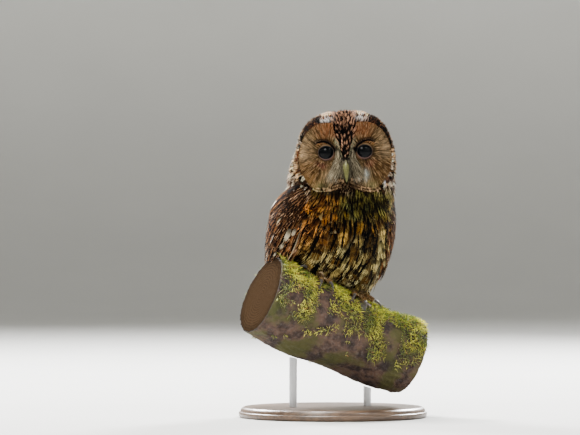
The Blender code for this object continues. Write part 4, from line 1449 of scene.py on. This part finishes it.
def build_moss(material):
    """Sprigs of moss: small bunches of curved blades on the bark."""
    rng = np.random.default_rng(51)
    along = rng.uniform(PERCH_ENDS[0] + 2 * MM, PERCH_ENDS[1] - 2 * MM, 60000)
    around = rng.uniform(0, 2 * math.pi, 60000)
    base, out = on_perch(along, around, -2.6 * MM)
    growth = mossiness(base)
    base, out, growth = taken(growth > 0.05, base, out, growth)
    kept = spread_points(base, np.interp(growth, [0.05, 0.5], [3.2, 2.2]) * MM)
    base, out, growth = taken(kept, base, out, growth)
    claws = [name for name in sorted(NODES) if name.startswith("claw_")]
    feet = tree_of(joined_nodes(["foot_l", "foot_r"] + claws))
    away = np.array([feet.find_nearest(b + o * 0.005)[3] for b, o in zip(base, out)])
    sprigs = taken(away > 2.5 * MM, base, out, growth, away)
    base, out, growth, away = (np.repeat(values, BLADES_IN_SPRIG, 0) for values in sprigs)
    count = len(base)
    height = np.interp(growth, [0.05, 0.6], [3.5, 7.5]) * rng.uniform(0.6, 1.25, count) * MM
    height = np.minimum(height, 2 * MM + away)
    lean = tangent(rng.normal(0, 1, (count, 3)), out)
    droop = np.array([0, -0.15, -0.35])
    t = np.linspace(0, 1, 4)[None, :, None]
    reach = (rng.uniform(0.35, 1.0, count) * height)[:, None, None]
    paths = base[:, None] + out[:, None] * height[:, None, None] * t
    paths = paths + (lean[:, None] + droop) * reach * t**1.7
    normals = np.broadcast_to(unit(np.cross(out, lean))[:, None], paths.shape)
    tone = smoothstep(-0.35, 0.45, noise_at(base, 16 * MM, 12.0) + rng.normal(0, 0.18, count))
    ground = blend(srgb(84, 96, 22), srgb(178, 176, 52), tone)
    ground[rng.random(count) < 0.06] = srgb(150, 108, 50)
    ground *= rng.uniform(0.7, 1.25, (count, 1))
    width = rng.uniform(0.45, 0.8, count)
    looks = plain_looks(width, 0.0, 0.0, ground, rng, round=0, fray=0.05, splay=0.2, cup=0)
    coat = Coat("moss")
    coat.add(FILAMENT, paths, normals, looks, moss_places(base), BAKE_CELL)
    coat.build(material, "moss_bark")


def moss_places(base):
    """Where sprigs fall on an unwrap of the branch: along it and round it."""
    local = (base - PERCH_POINT) @ rotation(PERCH_SLOPE, "Y")
    along = (local[:, 0] + 0.09) / 0.23
    around = np.arctan2(-(local[:, 1] - PERCH_BACKSET), local[:, 2] + PERCH_RADIUS)
    return np.clip(stacked(along, around / (2 * math.pi) + 0.5), 0.002, 0.994)


# ---------------------------------------------------------------- materials


class Shader:
    """A small helper for building one node material."""

    def __init__(self, name):
        self.material = bpy.data.materials.new(name)
        self.material.use_nodes = True
        self.tree = self.material.node_tree
        self.surface = self.tree.nodes["Principled BSDF"]

    def node(self, kind, entries=(), **settings):
        """A node with its first inputs set, each to a value or from another's output."""
        made = self.tree.nodes.new("ShaderNode" + kind)
        for key, value in settings.items():
            setattr(made, key, value)
        for index, entry in enumerate(entries):
            self.put(made.inputs[index], entry)
        return made

    def put(self, socket, value):
        if isinstance(value, bpy.types.NodeSocket):
            self.tree.links.new(value, socket)
        elif hasattr(value, "__len__"):
            socket.default_value = (*value, 1.0)[: len(socket.default_value)]
        else:
            socket.default_value = value

    def math(self, operation, *entries):
        return self.node("Math", entries, operation=operation).outputs[0]

    def times(self, first, second):
        return self.math("MULTIPLY", first, second)

    def plus(self, first, second):
        return self.math("ADD", first, second)

    def minus(self, first, second):
        return self.math("SUBTRACT", first, second)

    def ramp(self, value, low, high, to=(0.0, 1.0)):
        entries = (value, low, high, *to)
        return self.node("MapRange", entries, interpolation_type="SMOOTHSTEP").outputs[0]

    def mix(self, share, first, second, mode="MIX"):
        made = self.node("Mix", (share,), data_type="RGBA", blend_type=mode)
        self.put(made.inputs[6], first)
        self.put(made.inputs[7], second)
        return made.outputs[2]

    def attribute(self, name):
        return self.node("Attribute", attribute_name=name).outputs["Color"]

    def channels(self, name):
        made = self.node("SeparateColor")
        self.put(made.inputs[0], self.attribute(name))
        return made.outputs[:3]

    def noise(self, scale, detail=3.0, rough=0.55, at=None):
        """Noise over the surface, or at the places given."""
        at = at or self.place()
        made = self.node("TexNoise")
        self.put(made.inputs["Vector"], at)
        self.put(made.inputs["Scale"], scale)
        self.put(made.inputs["Detail"], detail)
        self.put(made.inputs["Roughness"], rough)
        return made.outputs[0]

    def place(self):
        return self.node("NewGeometry").outputs["Position"]

    def vane_map(self):
        """Across from edge (0) to edge (1), and along from root to tip, of each vane."""
        made = self.node("SeparateXYZ")
        self.put(made.inputs[0], self.node("UVMap", uv_map="Vane").outputs[0])
        return made.outputs[0], made.outputs[1]

    def shaded(self, colour, shade):
        grey = self.node("CombineColor", [shade] * 3)
        return self.mix(1.0, colour, grey.outputs[0], "MULTIPLY")

    def bump(self, height, distance):
        made = self.node("Bump")
        self.put(made.inputs["Height"], height)
        self.put(made.inputs["Distance"], distance)
        self.put(self.surface.inputs["Normal"], made.outputs[0])

    def finish(self, colour, roughness, **sockets):
        self.put(self.surface.inputs["Base Color"], colour)
        self.put(self.surface.inputs["Roughness"], roughness)
        for name, value in sockets.items():
            self.surface.inputs[name.replace("_", " ")].default_value = value
        return self.material


def feather_material():
    """Streak, cross bars, spot, fringe and fine barbs from each vane's own map and colours, with painted
    shade that darkens each vane towards its root.
    """
    s = Shader("feather")
    across, along = s.vane_map()
    streak, bars, spot = s.channels("Pattern")
    fringe, bands, spot_side = s.channels("Detail")
    off_shaft = s.minus(across, 0.5)
    outward = s.times(s.math("ABSOLUTE", off_shaft), 2.0)
    wobble = s.times(s.minus(s.noise(420.0), 0.5), 0.55)
    edge = s.plus(outward, wobble)

    slanted = s.minus(along, s.times(outward, 0.10))
    turns = s.times(bands, 100.0)
    wave = s.math("SINE", s.times(slanted, turns))
    wave = s.plus(wave, s.times(wobble, 2.4))
    colour = s.mix(s.times(s.ramp(wave, 0.2, 0.6), bars), s.attribute("Ground"), s.attribute("Mark"))

    tip = s.times(s.minus(along, 0.5), 2.1)
    border = s.ramp(s.math("MAXIMUM", edge, tip), 0.62, 0.98)
    colour = s.mix(s.times(border, fringe), colour, s.attribute("Fringe"))

    side = s.times(off_shaft, s.math("MULTIPLY_ADD", spot_side, 2.0, -1.0))
    ragged = s.plus(along, s.times(wobble, 0.22))
    on_web = s.ramp(s.plus(side, s.times(wobble, 0.2)), 0.02, 0.12)
    on_web = s.times(on_web, s.ramp(ragged, 0.66, 0.74))
    on_web = s.times(on_web, s.ramp(ragged, 0.93, 0.86))
    colour = s.mix(s.times(on_web, spot), colour, (0.80, 0.75, 0.67))

    half = s.times(streak, s.ramp(along, 0.0, 0.75, (0.6, 1.0)))
    in_streak = s.ramp(s.minus(half, edge), -0.08, 0.08)
    in_streak = s.times(in_streak, s.ramp(streak, 0.02, 0.08))
    colour = s.mix(in_streak, colour, (0.009, 0.0065, 0.005))

    barb = s.math("SINE", s.plus(s.times(along, 190.0), s.times(outward, -46.0)))
    fine = s.noise(900.0, 2.0)
    shade = s.plus(s.ramp(fine, 0.25, 0.75, (0.70, 1.22)), s.times(barb, 0.05))
    # Painted shade: each vane darker towards its root, where the feathers over it overlap.
    shade = s.times(shade, s.ramp(along, 0.1, 0.7, (0.25, 1.0)))
    s.bump(s.plus(barb, s.times(fine, 2.0)), 0.00012)
    deep = s.node("Gamma")
    s.put(deep.inputs[0], s.shaded(colour, shade))
    s.put(deep.inputs[1], 1.5)
    return s.finish(deep.outputs[0], 0.85, Specular_IOR_Level=0.04)


def skin_material():
    s = Shader("skin")
    mottle = s.ramp(s.noise(260.0), 0.3, 0.7, (0.55, 1.0))
    colour = s.mix(mottle, (0.03, 0.02, 0.014), s.attribute("Ground"))
    s.bump(s.noise(700.0), 0.0006)
    return s.finish(colour, 0.9, Specular_IOR_Level=0.15)


def eye_material():
    s = Shader("eye_black")
    tone = s.noise(160.0)
    colour = s.mix(tone, (0.0005, 0.0008, 0.0010), (0.0012, 0.0016, 0.0020))
    return s.finish(colour, 0.04, IOR=1.15, Specular_IOR_Level=0.5)


def lid_material():
    s = Shader("eyelid")
    s.bump(s.noise(1500.0), 0.00025)
    return s.finish(s.attribute("Ground"), 0.6, Specular_IOR_Level=0.3)


def horn_material(name, base, tip, roughness):
    """Horn with fine growth lines."""
    s = Shader(name)
    lines = s.noise(520.0, 4.0)
    colour = s.mix(s.ramp(lines, 0.3, 0.7), base, tip)
    s.bump(lines, 0.00012)
    return s.finish(colour, roughness, Specular_IOR_Level=0.15)


def bark_material():
    s = Shader("bark")
    place = s.place()
    coarse = s.noise(55.0, 6.0, 0.62, place)
    fine = s.noise(300.0, 5.0, 0.6, place)
    colour = s.mix(s.ramp(coarse, 0.38, 0.60), (0.020, 0.014, 0.013), (0.085, 0.050, 0.036))
    colour = s.mix(s.ramp(fine, 0.45, 0.75, (0.0, 0.5)), colour, (0.10, 0.082, 0.078))
    green = s.ramp(s.noise(28.0, at=place), 0.45, 0.60, (0.0, 0.75))
    colour = s.mix(green, colour, (0.045, 0.050, 0.012))
    s.bump(s.plus(coarse, s.times(fine, 0.5)), 0.0025)
    return s.finish(colour, 0.9, Specular_IOR_Level=0.2)


def sawn_material():
    s = Shader("sawn_wood")
    fine = s.noise(240.0, 4.0)
    colour = s.mix(s.ramp(fine, 0.3, 0.7, (0.0, 0.45)), s.attribute("Ground"), (0.03, 0.02, 0.012))
    s.bump(fine, 0.0006)
    return s.finish(colour, 0.95, Specular_IOR_Level=0.0)


def moss_material():
    s = Shader("moss")
    tips = s.ramp(s.vane_map()[1], 0.1, 0.9, (0.28, 1.75))
    tips = s.times(tips, s.ramp(s.noise(600.0), 0.3, 0.7, (0.8, 1.15)))
    s.bump(s.noise(1200.0), 0.0003)
    colour = s.shaded(s.attribute("Ground"), tips)
    return s.finish(colour, 0.7, Sheen_Weight=0.2, Specular_IOR_Level=0.3)


def steel_material():
    s = Shader("stand_steel")
    brushed = s.noise(900.0)
    s.bump(brushed, 0.00005)
    return s.finish((0.42, 0.42, 0.43), s.ramp(brushed, 0.3, 0.7, (0.28, 0.42)), Metallic=1.0)


def base_material():
    s = Shader("stand_wood")
    stretch = s.node("Mapping")
    s.put(stretch.inputs[0], s.place())
    stretch.inputs["Scale"].default_value = (3.0, 40.0, 40.0)
    grain = s.noise(6.0, 6.0, 0.6, stretch.outputs[0])
    pores = s.noise(40.0, 2.0, at=stretch.outputs[0])
    colour = s.mix(s.ramp(grain, 0.3, 0.7), (0.045, 0.024, 0.013), (0.12, 0.068, 0.038))
    colour = s.mix(s.ramp(pores, 0.62, 0.75, (0.0, 0.6)), colour, (0.02, 0.012, 0.008))
    s.bump(pores, 0.0001)
    return s.finish(colour, 0.38, Coat_Weight=0.3, Coat_Roughness=0.2)


def floor_material():
    s = Shader("floor")
    tone = s.ramp(s.noise(4.0), 0.0, 1.0, (0.97, 1.03))
    return s.finish(s.shaded(s.attribute("Ground"), tone), 0.9)


# ---------------------------------------------------------------- eyes, lids, bill, claws, stand


def refined(node, name, material):
    """A smoother copy of a small solid, which stands for it."""
    mesh = NODES[node].data.copy()
    mesh.materials.clear()
    weld = ("WELD", {"merge_threshold": WELDED})
    mesh = modified(mesh, weld, ("SUBSURF", {"levels": 2, "render_levels": 2}))
    mesh.shade_smooth()
    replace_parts(add_piece(name, mesh, material), node)


def eye_frame(side):
    """Centre of an eyeball, and its right, forward and up axes."""
    low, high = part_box("eye_l" if side > 0 else "eye_r")
    centre = (np.array(low) + np.array(high)) / 2
    turned_out = math.radians(9) * side
    forward = unit(face_directions(np.array([math.sin(turned_out), -math.cos(turned_out), 0.02])))
    up = tangent(face_directions(np.array([0.0, 0.0, 1.0])), forward)
    return centre, np.cross(up, -forward), forward, up


def build_eyes(material):
    for side, node in ((-1, "eye_r"), (1, "eye_l")):
        bm = bmesh.new()
        bmesh.ops.create_icosphere(bm, subdivisions=5, radius=EYE_RADIUS)
        mesh = smooth_mesh(node + "_ball", bm)
        mesh.transform(Matrix.Translation(eye_frame(side)[0]))
        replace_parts(add_piece(node + "_ball", mesh, material), node)


# Rings of an eyelid: distance out from the opening and rise off the eyeball (mm), then the
# colours of its lower outer side and its upper inner side.
LID_RINGS = [
    (-0.3, -0.9, (8, 6, 6), (6, 5, 5)),
    (0.0, 0.35, (16, 11, 10), (6, 5, 5)),
    (0.5, 0.70, (22, 14, 13), (10, 8, 7)),
    (0.75, 0.75, (128, 92, 84), (24, 17, 12)),
    (1.05, 0.65, (70, 44, 38), (92, 68, 42)),
    (1.7, 0.8, (30, 19, 15), (104, 80, 50)),
    (2.4, 1.2, (54, 34, 22), (96, 72, 46)),
    (3.9, 1.3, (84, 56, 34), (90, 66, 42)),
    (5.2, 0.4, (104, 72, 44), (70, 50, 32)),
    (7.0, -2.2, (100, 70, 44), (40, 28, 18)),
]


def lid_opening(angle):
    """Radius of the visible eye at an angle round it, mm: flatter above than below."""
    wide, tall = 9.5, np.where(np.sin(angle) > 0, 7.7, 8.4)
    return 1 / np.sqrt((np.cos(angle) / wide) ** 2 + (np.sin(angle) / tall) ** 2)


def build_lids(material):
    """Lids: a thin pale edge low and outside, and above it a buff line under a black brow."""
    turns = 128
    angle = np.linspace(0, 2 * math.pi, turns, endpoint=False)
    starts = np.arange(len(LID_RINGS)) * turns
    quads = np.concatenate([ring_quads(*pair, turns) for pair in zip(starts, starts[1:])])
    for side, name in ((-1, "eyelid_r"), (1, "eyelid_l")):
        centre, right, forward, up = eye_frame(side)
        points, colours = [], []
        across = np.cos(angle)[:, None] * right + np.sin(angle)[:, None] * up
        lower = smoothstep(0.0, 0.45, -np.sin(angle) + 0.35 * (np.cos(angle) * side))
        for outward, rise, low, high in LID_RINGS:
            radius = lid_opening(angle) + outward
            ahead = forward * (on_ball(radius) + rise)[:, None]
            points.append(centre + (across * radius[:, None] + ahead) * MM)
            colours.append(blend(srgb(*high), srgb(*low), lower))
        mesh = quad_mesh(name, np.concatenate(points), quads)
        set_colour(mesh, "Ground", np.concatenate(colours))
        add_piece(name, mesh, material)


def build_horn():
    bill = horn_material("bill_horn", (0.045, 0.043, 0.012), (0.090, 0.088, 0.026), 0.55)
    refined("bill", "bill_shell", bill)
    claw = horn_material("claw_horn", (0.03, 0.026, 0.024), (0.09, 0.08, 0.072), 0.3)
    for node in sorted(NODES):
        if node.startswith("claw_"):
            refined(node, node + "_shell", claw)


def turned_rings(bm, profile, turns):
    """Rings of vertices for a turned profile of reaches and heights: single on the axis."""
    rings = []
    for reach, height in profile:
        angles = [2 * math.pi * k / turns for k in range(turns if reach else 1)]
        rings.append([bm.verts.new((reach * math.cos(a), reach * math.sin(a), height)) for a in angles])
    return rings


def build_stand(wood, steel):
    """A turned wooden base with a rounded edge and a bead, and the plain steel rods."""
    low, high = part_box("stand_base")
    radius, thickness = high[0], high[2] - low[2]
    profile = [(0.0, 0.0)]
    for inset, height in ((3, 0), (1.5, 0.5), (0, 2.5), (0, 6.5), (0.6, 7.3), (1.6, 7.6)):
        profile.append((radius - inset * MM, height * MM))
    bend = 6.2 * MM
    for angle in np.linspace(0, math.pi / 2, 7):
        reach = radius - 2 * MM - bend + bend * math.cos(angle)
        profile.append((reach, thickness - bend + bend * math.sin(angle)))
    profile.append((0.0, thickness))
    turns = 160
    bm = bmesh.new()
    rings = turned_rings(bm, [(reach, low[2] + height) for reach, height in profile], turns)
    for inner, outer in zip(rings, rings[1:]):
        for k in range(turns):
            pair = (k, (k + 1) % turns)
            corners = [inner[i % len(inner)] for i in pair] + [outer[i % len(outer)] for i in pair[::-1]]
            bm.faces.new(list(dict.fromkeys(corners)))
    bmesh.ops.recalc_face_normals(bm, faces=bm.faces)
    mesh = smooth_mesh("stand_foot", bm)
    mesh.set_sharp_from_angle(angle=math.radians(40))
    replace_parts(add_piece("stand_foot", mesh, wood), "stand_base")
    for node in ("stand_rod_1", "stand_rod_2"):
        NODES[node].data.materials[0] = steel


# ---------------------------------------------------------------- stage


def build_camera():
    data = bpy.data.cameras.new("camera")
    data.sensor_width = 36
    data.lens = 36 * VIEW_DISTANCE / VIEW_SPAN
    data.clip_end = 100
    camera = linked("camera", data)
    back = Vector((math.sin(VIEW_AZIMUTH), -math.cos(VIEW_AZIMUTH), 0))
    camera.location = Vector(VIEW_AIM) + back * VIEW_DISTANCE
    camera.rotation_euler = (-back).to_track_quat("-Z", "Y").to_euler()
    bpy.context.scene.camera = camera


def add_light(name, place, size, power, colour=(1, 1, 1)):
    data = bpy.data.lights.new(name, "AREA")
    data.shape, data.size, data.energy, data.color = "DISK", size, power, colour
    lamp = linked(name, data)
    lamp.location = place
    lamp.rotation_euler = (LIGHTS_AIM - Vector(place)).to_track_quat("-Z", "Y").to_euler()


def build_lights():
    add_light("key", (-2.1, -1.9, 2.5), 1.4, 130, (1.0, 0.97, 0.90))
    add_light("fill", (1.8, -2.6, 1.0), 2.2, 14, (1.0, 0.98, 0.90))
    add_light("rim_left", (-0.6, 2.5, 2.0), 0.8, 400)
    add_light("rim_right", (1.9, 1.6, 1.7), 0.8, 400)
    add_light("top", (-0.3, 0.5, 2.6), 0.8, 270, (1.0, 0.98, 0.95))
    add_light("catch", (1.0, -2.6, 2.7), 0.3, 40)
    world = bpy.data.worlds.new("studio")
    world.use_nodes = True
    sky = world.node_tree.nodes["Background"]
    sky.inputs["Color"].default_value = (0.92, 0.91, 0.80, 1)
    sky.inputs["Strength"].default_value = 0.34
    bpy.context.scene.world = world


def build_floor():
    """A round floor that sweeps up to a soft wall all round, seen from inside."""
    turns = 96
    profile = [(3.0, 0.0), (5.0, 0.0)]
    profile += [(5.0 + 2.5 * math.sin(a), 2.5 * (1 - math.cos(a))) for a in np.linspace(0.1, 1.57, 12)]
    bm = bmesh.new()
    rings = turned_rings(bm, profile + [(7.5, 6.0)], turns)
    bm.faces.new(rings[0])
    for low, high in zip(rings, rings[1:]):
        for k in range(turns):
            j = (k + 1) % turns
            bm.faces.new((low[k], high[k], high[j], low[j]))
    mesh = smooth_mesh("floor", bm)
    tall = smoothstep(0.0, 1.5, vectors_of(mesh.vertices)[:, 2])
    set_colour(mesh, "Ground", blend(np.array([0.40, 0.40, 0.39]), np.array([0.88, 0.88, 0.86]), tall))
    mesh.materials.append(floor_material())
    linked("floor", mesh)


def main():
    build_camera()
    build_lights()
    build_floor()
    outer = outer_surface()
    tree = tree_of(outer)
    parts = part_of(vectors_of(outer.vertices))
    build_skin(outer, tree, parts, skin_material())
    coats = Coats()
    add_body_coat(outer, tree, parts, coats)
    add_belly_lines(tree, coats)
    add_face(outer, tree, parts, coats)
    add_brow_lines(tree, coats)
    add_rim(tree, coats)
    add_bristles(tree, coats)
    add_wing_lining(outer, tree, parts, coats)
    add_wing(1, coats)
    add_wing(-1, coats)
    add_tail(outer, tree, parts, coats)
    add_legs(outer, tree, parts, coats)
    feather = feather_material()
    slots = {"coat_face": "feather_face", "coat_legs": "feather_leg"}
    for name, coat in coats.items():
        wing = "wing" in name or "quills" in name
        coat.build(feather, slots.get(name, "feather_wing" if wing else "feather_brown"))
    build_eyes(eye_material())
    build_lids(lid_material())
    build_horn()
    build_bark(bark_material(), sawn_material())
    build_moss(moss_material())
    build_stand(base_material(), steel_material())


main()
